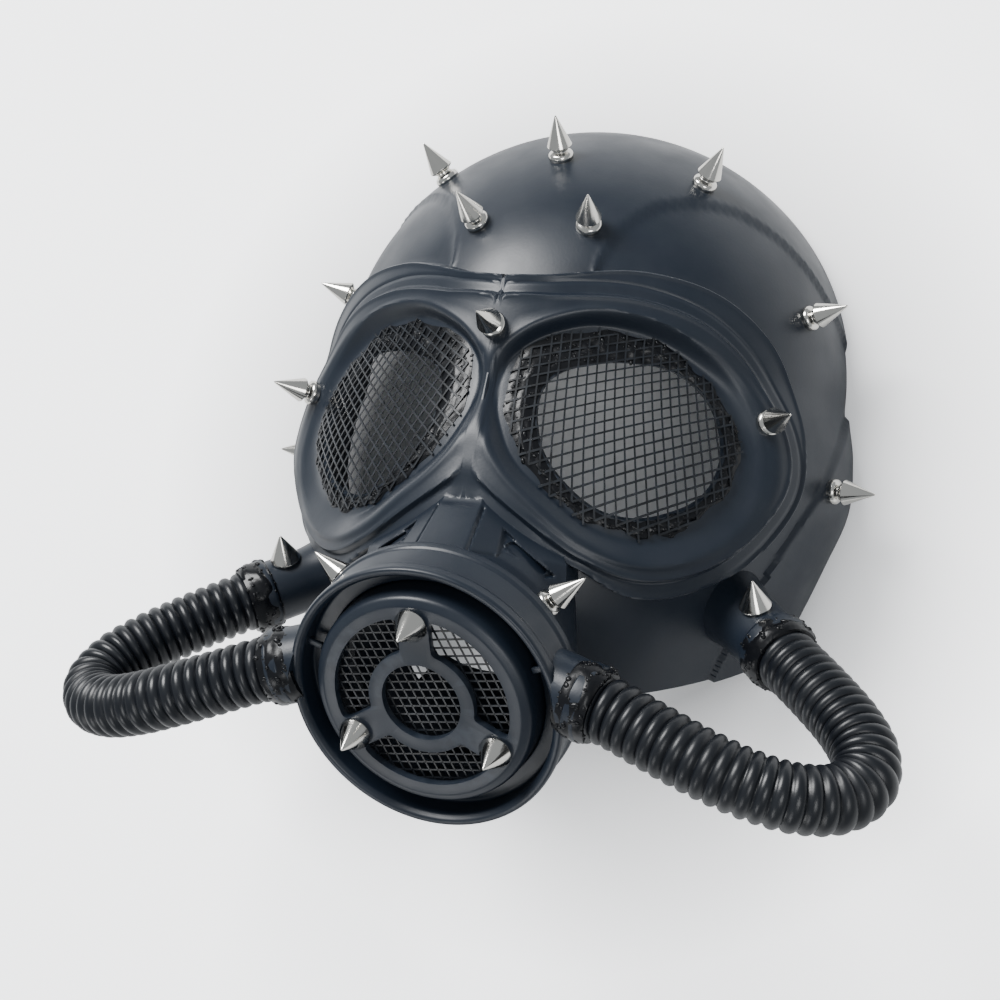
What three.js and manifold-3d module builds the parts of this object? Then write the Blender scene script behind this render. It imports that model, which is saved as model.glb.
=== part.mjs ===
// A costume mask of the gas mask style: a moulded face shell with goggle surrounds, eye meshes,
// a round filter, two corrugated hoses and cone studs.
// Millimetres. X runs across the face, Y towards the crown, Z out of the face.
// The mask lies on its back, on the flat end of its rear rim.

import * as THREE from "three";
import { mergeVertices } from "three/addons/utils/BufferGeometryUtils.js";
import Module from "manifold-3d";

const wasm = await Module();
wasm.setup();

// Driving sizes
const dome_radius = 105.5;
const shell_wall = 2.6;
const clearance = 0.3;

const goggle_step_width = 4;
const goggle_lift = 5;
const lower_lift = 4.5;
const bezel_step = 1.8;
const bezel_width = 2.2;
const recess_depth = 5.5;
const bridge_lift = 6;
const bridge_width = 30;

// Expanded metal sheets: how they sit, and the gaps cut through them
const mesh_thickness = 1;
const mesh_seat = 0.6;
const mesh_border = 2;
const mesh_overlap = 3.6;
const mesh_margin = 3;
const eye_gaps = { across: 14.5, up: 14, strand: 1.2 };
const filter_gaps = { across: 17, up: 15, strand: 1.4 };

// Filter: its centre below and in front of the dome, its cap, and the housing round the cap
const muzzle = { drop: 31.8, reach: 33.8, tilt: 33.1 };
const cap_radius = 40.5;
const cap_depth = 18;
const cap_wall = 3;
const cap_edge = 3.5;
const groove_width = 6.2;
const groove_depth = 12;
const rim_width = 3.5;
const housing_depth = 24;
const ledge_width = 1.5;
const lip = { set_back: 1.5, slope: 1.4, slope_depth: 2, edge: 1, edge_depth: 1.4 };
const rear_edge = { width: 1.5, depth: 3 };
const tab = { angle: 19, half_width: 2, set_in: 1, set_back: 4, depth: 2 };
const groove_radius = cap_radius + clearance + groove_width;
const housing_radius = groove_radius + rim_width;
const cap_face_radius = cap_radius - cap_edge;

// Grille: a ring on three spokes, with studs towards the spokes' outer ends
const ring_hole_radius = 14.3;
const ring_width = 5.2;
const plate_rim = 4.5;
const spoke_width = 12;
const kidney_corner = 3;
const filter_stud_inset = 6.6;
const ring_radius = ring_hole_radius + ring_width;
const kidney_reach = cap_face_radius - plate_rim;
const filter_stud_circle = cap_face_radius - filter_stud_inset;

// Muzzle neck, from the housing back into the face
const neck = { step: 4.5, taper: 1.1, narrowing: 10, band: 10, length: 36, lift: 13, overrun: 16 };
const neck_front_radius = housing_radius - neck.step;
const neck_band_radius = neck_front_radius - neck.taper;
const neck_band_end = housing_depth + neck.band;
const cheek_stud = { angle: 36, before_band_end: 4 };

const hose_diameter = 23.5;
const collar_wall = 2;
const collar_depth = 20;
const port_radius = 12.4;
const port_bore = 8;
const port_length = 44;
const port_stud_place = 14;
const port_post = 2.6;
const bead_length = 6;

const stud = {
  disc_radius: 5,
  disc_height: 2.6,
  disc_edge: 0.6,
  neck_radius: 3,
  neck_edge: 0.4,
  cone_radius: 4.85,
  cone_start: 5.2,
  cone_under: 1.2,
  length: 17.7,
};
const short_stud = { cone_radius: 6, foot: 0.7, edge: 1.2, length: 12 };
const post_radius = 1.7;
const post_head = { radius: 3.6, height: 1.4 };

// Sections of the face below the brow line: shares of the dome's radius
const section_drop = 0.2;
const face_sections = [
  { drop: 0.0, half_width: 1.0, front: 1.0 },
  { drop: 0.2, half_width: 1.035, front: 1.03 },
  { drop: 0.4, half_width: 1.04, front: 1.065 },
  { drop: 0.6, half_width: 0.975, front: 1.08 },
  { drop: 0.8, half_width: 0.9, front: 1.06 },
  { drop: 1.0, half_width: 0.815, front: 1.0 },
  { drop: 1.2, half_width: 0.72, front: 0.91 },
  { drop: 1.4, half_width: 0.61, front: 0.8 },
];

// The shell's lower end: how far below the brow line, as a share of the dome's radius, and its rise
const chin_line = { drop: 0.948, rise: 0.36 };

// Lines round an eye, every 30 degrees from the outer corner up and round, as shares of the dome's
// radius measured over the surface from the eye's centre
const eye_centre = { across: 0.46, up: -0.33 };
const eye_lines = [
  { opening: 0.290, floor: 0.352, rim: 0.412, bezel: 0.540, edge: 0.640 },
  { opening: 0.303, floor: 0.362, rim: 0.410, bezel: 0.520, edge: 0.680 },
  { opening: 0.289, floor: 0.352, rim: 0.396, bezel: 0.496, edge: 0.655 },
  { opening: 0.264, floor: 0.367, rim: 0.412, bezel: 0.487, edge: 0.618 },
  { opening: 0.280, floor: 0.412, rim: 0.450, bezel: 0.530, edge: 0.630 },
  { opening: 0.325, floor: 0.455, rim: 0.525, bezel: 0.700, edge: 0.850 },
  { opening: 0.280, floor: 0.370, rim: 0.400, bezel: 0.540, edge: 0.700 },
  { opening: 0.225, floor: 0.268, rim: 0.297, bezel: 0.345, edge: 0.410 },
  { opening: 0.203, floor: 0.242, rim: 0.270, bezel: 0.322, edge: 0.368 },
  { opening: 0.198, floor: 0.244, rim: 0.281, bezel: 0.342, edge: 0.412 },
  { opening: 0.212, floor: 0.264, rim: 0.318, bezel: 0.385, edge: 0.462 },
  { opening: 0.256, floor: 0.312, rim: 0.378, bezel: 0.455, edge: 0.548 },
];

// The block over the nose: shares of the dome's radius, and how much of its height its sides have
const nose_side = 0.35;
const nose_sections = [
  { drop: 0.34, top_half: 0.04, top: 1.10, foot_half: 0.10, foot: 0.98 },
  { drop: 0.48, top_half: 0.06, top: 1.155, foot_half: 0.17, foot: 0.98 },
  { drop: 0.62, top_half: 0.07, top: 1.21, foot_half: 0.25, foot: 0.98 },
  { drop: 0.79, top_half: 0.09, top: 1.315, foot_half: 0.36, foot: 0.98 },
  { drop: 0.87, top_half: 0.09, top: 1.31, foot_half: 0.37, foot: 0.98 },
];

// Studs on the shell: place over the surface from the brow, as shares of the dome's radius
const shell_studs = [
  { name: "stud_brow", across: 0, up: 0 },
  { name: "stud_crown", across: 0, up: 0.811 },
  { name: "stud_forehead_inner", across: 0.218, up: 0.437 },
  { name: "stud_forehead_outer", across: 0.596, up: 0.808 },
  { name: "stud_temple", across: 1.168, up: 0.324 },
  { name: "stud_goggle", across: 0.905, up: -0.205 },
  { name: "stud_ear", across: 1.283, up: -0.445 },
];

// The right hose's centre line, chosen points from the filter to the cheek: beyond the housing's
// side, above the filter's centre and in front of it
const hose_route = [
  [7.8, 6.8, -7.1],
  [17.5, 3.8, -6.7],
  [31.5, -1.7, -5.8],
  [47.5, -7.7, -5.8],
  [63.5, -12.7, -8.3],
  [78.5, -15.2, -13.3],
  [90.5, -13.7, -21.3],
  [96.5, -7.7, -29.8],
  [95, 0.8, -38.3],
  [87.5, 9.8, -46.8],
  [76.5, 18.8, -55.3],
  [65, 27.1, -63.5],
  [54.5, 34.1, -71],
];

// Mesh density
const ray_count = 36;
const outer_rings = 5;
const line_pinch = 0.4;
const round_sides = 24;
const stud_sides = 7;
const port_sides = 10;
const hose_sides = 8;
const hose_steps = 20;
const sheet_sides = 24;
const ring_hole_sides = 16;
const kidney_steps = 3;

// Materials
const shell_plastic = new THREE.MeshStandardMaterial({ color: 0x1c2430, roughness: 0.42, metalness: 0 });
const black_metal = new THREE.MeshStandardMaterial({ color: 0x0c0d10, roughness: 0.45, metalness: 0.6 });
const hose_plastic = new THREE.MeshStandardMaterial({ color: 0x12151b, roughness: 0.5, metalness: 0 });
const nickel = new THREE.MeshStandardMaterial({ color: 0xd8d4c8, roughness: 0.18, metalness: 1 });

// Small helpers
const smooth = (t) => {
  const u = Math.min(Math.max(t, 0), 1);
  return u * u * (3 - 2 * u);
};

function spline(a, b, c, d, t) {
  const cubic = -a + 3 * b - 3 * c + d;
  const square = 2 * a - 5 * b + 4 * c - d;
  return 0.5 * (2 * b + (c - a) * t + square * t * t + cubic * t * t * t);
}

// A table's column at a place between its rows; the row before the first mirrors it
function column(rows, name, place, closed) {
  const count = rows.length;
  const last = count - 1;
  const held = closed ? place : Math.min(Math.max(place, 0), last);
  const whole = Math.min(Math.floor(held), closed ? Infinity : last - 1);
  const row = (i) => rows[closed ? ((i % count) + count) % count : Math.min(Math.abs(i), last)][name];
  return spline(row(whole - 1), row(whole), row(whole + 1), row(whole + 2), held - whole);
}

// Join shared corners and read the mesh as a solid with its faces pointing out
function solid(geometry) {
  const bare = geometry.clone();
  bare.deleteAttribute("normal");
  bare.deleteAttribute("uv");
  const merged = mergeVertices(bare, 1e-4);
  const vertProperties = new Float32Array(merged.attributes.position.array);
  const triVerts = new Uint32Array(merged.index.array);
  const body = new wasm.Manifold(new wasm.Mesh({ numProp: 3, vertProperties, triVerts }));
  if (body.volume() > 0) return body;
  for (let i = 0; i < triVerts.length; i += 3) {
    [triVerts[i], triVerts[i + 1]] = [triVerts[i + 1], triVerts[i]];
  }
  return new wasm.Manifold(new wasm.Mesh({ numProp: 3, vertProperties, triVerts }));
}

function geometryOf(body) {
  const mesh = body.getMesh();
  const geometry = new THREE.BufferGeometry();
  geometry.setAttribute("position", new THREE.BufferAttribute(new Float32Array(mesh.vertProperties), 3));
  geometry.setIndex(new THREE.BufferAttribute(new Uint32Array(mesh.triVerts), 1));
  geometry.computeVertexNormals();
  return geometry;
}

function faces(points, triangles) {
  const geometry = new THREE.BufferGeometry();
  geometry.setAttribute("position", new THREE.Float32BufferAttribute(points.flat(), 3));
  geometry.setIndex(triangles.flat());
  return geometry;
}

// A closed loft through rings with the same number of points, first ring's normal pointing back
function loft(rings) {
  const points = rings.flat();
  const size = rings[0].length;
  const triangles = [];
  for (let k = 0; k + 1 < rings.length; k++) {
    for (let i = 0; i < size; i++) {
      const j = (i + 1) % size;
      triangles.push([k * size + i, k * size + j, (k + 1) * size + j]);
      triangles.push([k * size + i, (k + 1) * size + j, (k + 1) * size + i]);
    }
  }
  const end = (rings.length - 1) * size;
  for (let i = 1; i + 1 < size; i++) {
    triangles.push([0, i + 1, i]);
    triangles.push([end, end + i, end + i + 1]);
  }
  return solid(faces(points, triangles));
}

// Turn and move a body so that its own +Y points along a direction
function placed(geometry, position, direction) {
  const turn = new THREE.Quaternion().setFromUnitVectors(new THREE.Vector3(0, 1, 0), direction);
  return geometry.clone().applyQuaternion(turn).translate(position.x, position.y, position.z);
}

const mirrored = (body) => body.mirror([1, 0, 0]);

// The face: the surface met along a direction from the middle of the dome
function faceRadius(direction) {
  if (direction.y >= 0) return dome_radius;
  let low = 0.5 * dome_radius;
  let high = 2.2 * dome_radius;
  for (let i = 0; i < 40; i++) {
    const middle = (low + high) / 2;
    const place = (-middle * direction.y) / (section_drop * dome_radius);
    const width = column(face_sections, "half_width", place) * dome_radius;
    const front = column(face_sections, "front", place) * dome_radius;
    const reach = (middle * direction.x / width) ** 2 + (middle * direction.z / front) ** 2;
    if (reach < 1) low = middle;
    else high = middle;
  }
  return (low + high) / 2;
}

// A direction from a place over the surface, as shares of the dome's radius
function directionAt(across, up) {
  const turn = Math.hypot(across, up);
  if (turn < 1e-9) return new THREE.Vector3(0, 0, 1);
  const spread = Math.sin(turn) / turn;
  const flat = Math.abs(turn - Math.PI / 2) < 1e-5;
  return new THREE.Vector3(across * spread, up * spread, flat ? 0 : Math.cos(turn));
}

const eyeLine = (name, angle) => column(eye_lines, name, (angle / Math.PI) * 6, true);

// Height of the goggle surrounds: more at the nose bridge and at the lower edge
function goggleLift(across, up) {
  const bulge = bridge_lift * Math.exp(-((across * dome_radius / bridge_width) ** 2));
  return goggle_lift + lower_lift * smooth((0.05 - up) / 0.9) + bulge;
}

// Height of the goggle surrounds over the face; inward moves each slope so that the wall keeps
// its thickness
function relief(across, up, inward) {
  const dx = Math.abs(across) - eye_centre.across;
  const dy = up - eye_centre.up;
  const angle = Math.atan2(dy, dx);
  const reach = Math.hypot(dx, dy) * dome_radius;
  const at = (name) => eyeLine(name, angle) * dome_radius;
  const slope = (edge, width) => smooth((edge - reach) / width);
  const plateau = slope(at("edge") - inward, goggle_step_width);
  const drop = slope(at("rim") + inward, at("rim") - at("floor"));
  const bezel = slope(at("bezel"), bezel_width);
  return plateau * goggleLift(across, up) + bezel_step * bezel - recess_depth * drop;
}

const reliefWall = (across, up) => relief(across, up, shell_wall) - shell_wall;

// Where the shell ends along a ray from the eye's centre: at the midline, the rim or the chin
function rayEnd(angle) {
  const kindAt = (reach) => {
    const across = eye_centre.across + reach * Math.cos(angle);
    const up = eye_centre.up + reach * Math.sin(angle);
    if (across < 0) return "midline";
    if (Math.hypot(across, up) > Math.PI / 2) return "rim";
    const direction = directionAt(across, up);
    const point = direction.clone().multiplyScalar(faceRadius(direction));
    return point.y + chin_line.rise * point.z < -chin_line.drop * dome_radius ? "chin" : null;
  };
  let low = 0;
  let high = Math.PI;
  for (let i = 0; i < 40; i++) {
    const middle = (low + high) / 2;
    if (kindAt(middle)) high = middle;
    else low = middle;
  }
  return { reach: low, kind: kindAt(high) };
}

// Rays spread by their turn and by the length of the shell's end that each one covers, with one
// ray moved to each corner of the half shell and to each place where a line meets the shell's end
function rayAngles() {
  const fine = 360;
  const step = (2 * Math.PI) / fine;
  const ends = Array.from({ length: fine + 1 }, (_, i) => rayEnd(i * step));
  const points = ends.map(({ reach }, i) => endPoint(i * step, reach));
  const along = [0];
  for (let i = 0; i < fine; i++) along.push(along[i] + points[i].distanceTo(points[i + 1]));
  const share = along.map((length, i) => (length / along[fine] + i / fine) / 2);
  const angles = [];
  for (let k = 0; k < ray_count; k++) {
    const wanted = k / ray_count;
    const i = share.findIndex((value) => value > wanted) - 1;
    angles.push((i + (wanted - share[i]) / (share[i + 1] - share[i])) * step);
  }
  const tests = [
    (angle, end) => end.kind,
    ...meeting_lines.map((reach) => (angle, end) => reach(angle) < end.reach),
  ];
  const moved = new Set();
  for (const test of tests) {
    for (let i = 0; i < fine; i++) {
      if (test(i * step, ends[i]) === test((i + 1) * step, ends[i + 1])) continue;
      const corner = changeBetween(i * step, (i + 1) * step, test);
      const misses = angles.map((angle, k) => (moved.has(k) ? Infinity : Math.abs(angle - corner)));
      const nearest = misses.indexOf(Math.min(...misses));
      angles[nearest] = corner;
      moved.add(nearest);
    }
  }
  return angles.sort((a, b) => a - b);
}

function endPoint(angle, reach) {
  const across = eye_centre.across + reach * Math.cos(angle);
  const direction = directionAt(across, eye_centre.up + reach * Math.sin(angle));
  return direction.multiplyScalar(faceRadius(direction));
}

// The angle between two others where a test changes its answer
function changeBetween(first, second, test) {
  const answer = test(first, rayEnd(first));
  let low = first;
  let high = second;
  for (let k = 0; k < 40; k++) {
    const middle = (low + high) / 2;
    if (test(middle, rayEnd(middle)) === answer) low = middle;
    else high = middle;
  }
  return low;
}

// Places along each ray: the eye's own lines, held just inside the shell's end where it comes
// first, then even steps to that end
function ringReaches(angle, names, extra) {
  const end = rayEnd(angle).reach;
  const pinch = line_pinch / dome_radius;
  const lines = names.map((name, k) => Math.min(name(angle), end - (names.length + extra - k) * pinch));
  const start = lines[lines.length - 1];
  const rest = Array.from({ length: extra }, (_, i) => start + ((end - start) * (i + 1)) / extra);
  return [...lines, ...rest];
}

const line = (name, shift = 0) => (angle) => eyeLine(name, angle) + shift / dome_radius;
const outer_lines = [
  line("opening"),
  line("floor"),
  line("rim"),
  line("bezel", -bezel_width),
  line("bezel"),
  line("edge", -goggle_step_width),
  line("edge"),
];
const meeting_lines = [line("bezel"), line("edge", -goggle_step_width), line("edge")];
const inner_lines = [
  line("opening"),
  line("floor", shell_wall),
  line("rim", shell_wall),
  line("edge", -goggle_step_width - shell_wall),
  line("edge", -shell_wall),
];

function skinGrid(angles, names, extra, height) {
  return angles.map((angle) => {
    const reaches = ringReaches(angle, names, extra);
    return reaches.map((reach) => {
      let across = eye_centre.across + reach * Math.cos(angle);
      const up = eye_centre.up + reach * Math.sin(angle);
      if (Math.abs(across) < 1e-4) across = 0;
      const direction = directionAt(across, up);
      return direction.multiplyScalar(faceRadius(direction) + height(across, up)).toArray();
    });
  });
}

// Triangles of one half of a skin
function skinTriangles(grid, outward) {
  const triangles = [];
  for (let j = 0; j < grid.length; j++) {
    const ray = grid[j];
    const next = grid[(j + 1) % grid.length];
    for (let i = 0; i + 1 < ray.length; i++) {
      const corners = outward
        ? [ray[i], ray[i + 1], next[i + 1], next[i]]
        : [ray[i], next[i], next[i + 1], ray[i + 1]];
      triangles.push([corners[0], corners[1], corners[2]], [corners[0], corners[2], corners[3]]);
    }
  }
  return triangles;
}

const is_midline = (point) => Math.abs(point[0]) < 1e-6;

// The strip that joins two skins along a loop, left out where both ends lie on the midline
function edgeStrip(outside, inside, flip) {
  const triangles = [];
  for (let j = 0; j < outside.length; j++) {
    const k = (j + 1) % outside.length;
    if (is_midline(outside[j]) && is_midline(outside[k])) continue;
    const strip = [
      [outside[j], inside[j], inside[k]],
      [outside[j], inside[k], outside[k]],
    ];
    triangles.push(...(flip ? strip.map((t) => [t[0], t[2], t[1]]) : strip));
  }
  return triangles;
}

function bothHalves(triangles) {
  const other = triangles.map((t) => [t[0], t[2], t[1]].map((p) => [-p[0], p[1], p[2]]));
  const points = [...triangles, ...other].flat();
  const index = Array.from({ length: points.length / 3 }, (_, i) => [3 * i, 3 * i + 1, 3 * i + 2]);
  return solid(faces(points, index));
}

const shell_angles = rayAngles();

function shellWall() {
  const outer = skinGrid(shell_angles, outer_lines, outer_rings, (a, u) => relief(a, u, 0));
  const inner = skinGrid(shell_angles, inner_lines, outer_rings - 2, reliefWall);
  const end = (grid) => grid.map((ray) => ray[ray.length - 1]);
  const start = (grid) => grid.map((ray) => ray[0]);
  return bothHalves([
    ...skinTriangles(outer, true),
    ...skinTriangles(inner, false),
    ...edgeStrip(start(outer), start(inner), true),
    ...edgeStrip(end(outer), end(inner), false),
  ]);
}

// Everything inside a skin at a height over the face, closed at the dome's middle and over the eyes
function filled(height) {
  const grid = skinGrid(shell_angles, outer_lines, outer_rings, height);
  const middle = [0, 0, 0];
  const eye = directionAt(eye_centre.across, eye_centre.up);
  const eye_point = eye.multiplyScalar(faceRadius(eye) + height(eye_centre.across, eye_centre.up)).toArray();
  const triangles = skinTriangles(grid, true);
  for (let j = 0; j < grid.length; j++) {
    const next = grid[(j + 1) % grid.length];
    const last = grid[j].length - 1;
    triangles.push([eye_point, grid[j][0], next[0]]);
    if (is_midline(grid[j][last]) && is_midline(next[last])) continue;
    triangles.push([grid[j][last], middle, next[last]]);
  }
  return bothHalves(triangles);
}

// A place on the shell with its outward direction
function shellSeat(across, up) {
  const at = (a, u) => {
    const direction = directionAt(a, u);
    return direction.multiplyScalar(faceRadius(direction) + relief(a, u, 0));
  };
  const step = 0.03;
  const point = at(across, up);
  const along = at(across + step, up).sub(at(across - step, up));
  const above = at(across, up + step).sub(at(across, up - step));
  return { point, direction: along.cross(above).normalize() };
}

// The filter's own axes
const filter_tilt = THREE.MathUtils.degToRad(muzzle.tilt);
const filter_out = new THREE.Vector3(0, -Math.sin(filter_tilt), Math.cos(filter_tilt));
const filter_up = new THREE.Vector3(0, Math.cos(filter_tilt), Math.sin(filter_tilt));
const filter_centre = new THREE.Vector3(0, -dome_radius - muzzle.drop, dome_radius + muzzle.reach);

function filterPoint(across, up, back) {
  return filter_centre.clone()
    .addScaledVector(new THREE.Vector3(1, 0, 0), across)
    .addScaledVector(filter_up, up)
    .addScaledVector(filter_out, -back);
}

// A turned body on the filter's axis, from points of radius and set-back
function turnedOnFilter(profile) {
  const points = [...profile, profile[0]].map(([radius, back]) => new THREE.Vector2(radius, -back));
  const lathe = new THREE.LatheGeometry(points, round_sides);
  return solid(placed(lathe, filter_centre, filter_out));
}

// A prism on the filter's plane, from a flat outline
function filterPrism(outline, front, back) {
  const ring = (depth) => outline.map(([across, up]) => filterPoint(across, up, depth).toArray());
  return loft([ring(back), ring(front)]);
}

function rod(point, direction, radius, start, end, sides = stud_sides) {
  const cylinder = new THREE.CylinderGeometry(radius, radius, end - start, sides);
  cylinder.translate(0, (start + end) / 2, 0);
  return solid(placed(cylinder, point, direction));
}

// Muzzle neck: round sections that shrink and rise towards the face
function neckBody(inset, front_back) {
  const end_radius = neck_front_radius - neck.narrowing;
  const end = { back: housing_depth + neck.length, radius: end_radius, lift: neck.lift };
  const sections = [
    { back: front_back, radius: neck_front_radius, lift: 0 },
    { back: neck_band_end, radius: neck_band_radius, lift: 0 },
    end,
  ];
  if (inset > 0) sections.push({ ...end, back: end.back + neck.overrun });
  const rings = sections.reverse().map(({ back, radius, lift }) =>
    Array.from({ length: round_sides }, (_, i) => {
      const angle = (2 * Math.PI * i) / round_sides;
      const out = radius - inset;
      return filterPoint(out * Math.cos(angle), lift + out * Math.sin(angle), back).toArray();
    }));
  return loft(rings);
}

// Nose block: six-sided sections down the middle of the face
function noseBody(inset, sink) {
  const rings = nose_sections.map((row, k) => {
    const y = -row.drop * dome_radius - (k === 0 ? inset : 0);
    const top = row.top * dome_radius - inset;
    const half = Math.max(row.top_half * dome_radius - inset / 2, 1);
    const foot_half = row.foot_half * dome_radius - inset;
    const foot = row.foot * dome_radius - sink;
    const side = (row.foot + (row.top - row.foot) * nose_side) * dome_radius - inset;
    return [
      [-foot_half, y, foot],
      [foot_half, y, foot],
      [foot_half, y, side],
      [half, y, top],
      [-half, y, top],
      [-foot_half, y, side],
    ];
  });
  return loft(rings.reverse());
}

// A stud's hole through the wall, with a flat seat for its head on the inside
function studHoles(seats) {
  const depth = shell_wall * 3;
  return seats.map((seat) => {
    const hole = rod(seat.point, seat.direction, post_radius + clearance, -depth, shell_wall);
    return hole.add(rod(seat.point, seat.direction, post_head.radius + clearance, -depth, -shell_wall));
  });
}

const sides = [
  { name: "left", sign: -1 },
  { name: "right", sign: 1 },
];

const mirroredSeat = (seat) => ({
  point: seat.point.clone().setX(-seat.point.x),
  direction: seat.direction.clone().setX(-seat.direction.x),
});

// Seats of every stud on the shell, by name
function shellSeats() {
  const seats = [];
  for (const row of shell_studs) {
    const seat = shellSeat(row.across, row.up);
    if (row.across === 0) seats.push({ name: row.name, ...seat });
    else for (const { name, sign } of sides) {
      seats.push({ name: `${row.name}_${name}`, ...(sign > 0 ? seat : mirroredSeat(seat)) });
    }
  }
  return seats;
}

// Seats on the sides of the muzzle neck
function cheekSeats() {
  const angle = THREE.MathUtils.degToRad(cheek_stud.angle);
  const back = neck_band_end - cheek_stud.before_band_end;
  const slope = neck.taper / neck.band;
  const radius = neck_front_radius - slope * (back - housing_depth);
  const point = filterPoint(radius * Math.cos(angle), radius * Math.sin(angle), back);
  const direction = new THREE.Vector3(Math.cos(angle), 0, 0)
    .addScaledVector(filter_up, Math.sin(angle))
    .addScaledVector(filter_out, -slope)
    .normalize();
  const seat = { point, direction };
  return sides.map(({ name, sign }) => ({
    name: `stud_cheek_${name}`,
    ...(sign > 0 ? seat : mirroredSeat(seat)),
  }));
}

const shell_seats = shellSeats();
const cheek_seats = cheekSeats();

function faceShell() {
  const blocks = noseBody(0, 0)
    .add(neckBody(0, housing_depth + clearance))
    .subtract(filled((a, u) => relief(a, u, 0) - shell_wall / 2));
  const hollows = noseBody(shell_wall, neck.overrun).add(neckBody(shell_wall, housing_depth - clearance));
  const mesh_bed = eyeSheet(mesh_seat - clearance, mesh_seat + 2 * mesh_thickness);
  let body = shellWall().add(blocks).subtract(hollows).subtract(mesh_bed).subtract(mirrored(mesh_bed));
  for (const hole of studHoles([...shell_seats, ...cheek_seats])) body = body.subtract(hole);
  return body;
}

function filterHousing() {
  const bore = cap_radius + clearance;
  const ledge = cap_radius - cap_wall - ledge_width;
  const step = cap_depth + clearance;
  let body = turnedOnFilter([
    [ledge, housing_depth],
    [ledge, step],
    [bore, step],
    [bore, groove_depth],
    [groove_radius, groove_depth],
    [groove_radius, lip.set_back + lip.slope_depth],
    [groove_radius + lip.slope, lip.set_back],
    [housing_radius - lip.edge, lip.set_back],
    [housing_radius, lip.set_back + lip.edge_depth],
    [housing_radius, housing_depth - rear_edge.depth],
    [housing_radius - rear_edge.width, housing_depth],
  ]);
  for (const { sign } of sides) {
    const angle = THREE.MathUtils.degToRad(tab.angle);
    const [x, y] = [sign * Math.cos(angle), Math.sin(angle)];
    const inner = bore + tab.set_in;
    const outer = groove_radius + tab.set_in;
    const outline = [
      [x * inner, y * inner - tab.half_width],
      [x * outer, y * outer - tab.half_width],
      [x * outer, y * outer + tab.half_width],
      [x * inner, y * inner + tab.half_width],
    ];
    const ordered = sign > 0 ? outline : outline.reverse();
    const front = lip.set_back + tab.set_back;
    body = body.add(filterPrism(ordered, front, front + tab.depth));
  }
  return body;
}

// One kidney opening between two spokes
function kidney(middle_angle) {
  const half = (radius) => Math.PI / 3 - Math.asin(spoke_width / 2 / radius);
  const arc = (radius, half_angle, sign) => Array.from({ length: kidney_steps + 1 }, (_, i) => {
    const angle = middle_angle + sign * half_angle * ((2 * i) / kidney_steps - 1);
    return [radius * Math.cos(angle), radius * Math.sin(angle)];
  });
  return [
    ...arc(kidney_reach, half(kidney_reach) - kidney_corner / kidney_reach, 1),
    ...arc(ring_radius, half(ring_radius), -1),
  ];
}

function filterGrille() {
  let body = turnedOnFilter([
    [0, 0],
    [cap_face_radius, 0],
    [cap_radius - 0.3 * cap_edge, 0.35 * cap_edge],
    [cap_radius, cap_edge],
    [cap_radius, cap_depth],
    [cap_radius - cap_wall, cap_depth],
    [cap_radius - cap_wall, cap_wall],
    [0, cap_wall],
  ]);
  const through = cap_wall + clearance;
  body = body.subtract(filterPrism(circle(ring_hole_radius, ring_hole_sides), -clearance, through));
  for (const degrees of [30, 150, 270]) {
    body = body.subtract(filterPrism(kidney(THREE.MathUtils.degToRad(degrees)), -clearance, through));
  }
  for (const seat of filter_seats) {
    body = body.subtract(rod(seat.point, seat.direction, post_radius + clearance, -through, clearance));
  }
  return body;
}

const filter_seats = [
  { name: "stud_filter_top", degrees: 90 },
  { name: "stud_filter_left", degrees: 210 },
  { name: "stud_filter_right", degrees: 330 },
].map(({ name, degrees }) => {
  const angle = THREE.MathUtils.degToRad(degrees);
  const point = filterPoint(filter_stud_circle * Math.cos(angle), filter_stud_circle * Math.sin(angle), 0);
  return { name, point, direction: filter_out.clone() };
});

// Diamond gaps of an expanded metal sheet that lie whole inside an outline
function diamonds(gaps, inside, reach) {
  const holes = [];
  const columns = Math.ceil(reach / gaps.across);
  const rows = Math.ceil((2 * reach) / gaps.up);
  for (let row = -rows; row <= rows; row++) {
    for (let column_index = -columns; column_index <= columns; column_index++) {
      const x = (column_index + (row % 2 ? 0.5 : 0)) * gaps.across;
      const y = (row * gaps.up) / 2;
      const half_x = gaps.across / 2 - gaps.strand;
      const half_y = gaps.up / 2 - gaps.strand;
      const corners = [[x + half_x, y], [x, y + half_y], [x - half_x, y], [x, y - half_y]];
      if (corners.every(([a, b]) => inside(a, b))) holes.push(corners);
    }
  }
  return holes;
}

// A flat sheet in its own plane, pierced, as a mesh from z = 0 to its thickness
function piercedSheet(outline, holes) {
  const shape = new THREE.Shape(outline.map(([x, y]) => new THREE.Vector2(x, y)));
  shape.holes = holes.map((hole) => new THREE.Path(hole.map(([x, y]) => new THREE.Vector2(x, y))));
  return new THREE.ExtrudeGeometry(shape, { depth: mesh_thickness, bevelEnabled: false });
}

const circle = (radius, count) => Array.from({ length: count }, (_, i) => {
  const angle = (2 * Math.PI * i) / count;
  return [radius * Math.cos(angle), radius * Math.sin(angle)];
});

function filterMesh() {
  const radius = cap_radius - cap_wall - clearance * 2;
  const back = cap_wall + clearance + mesh_thickness;
  const holes = diamonds(filter_gaps, (x, y) => Math.hypot(x, y) < radius - mesh_border, radius);
  const sheet = piercedSheet(circle(radius, sheet_sides), holes);
  const turn = new THREE.Matrix4().makeBasis(new THREE.Vector3(1, 0, 0), filter_up, filter_out);
  sheet.applyMatrix4(turn.setPosition(filterPoint(0, 0, back)));
  return solid(sheet);
}

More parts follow.
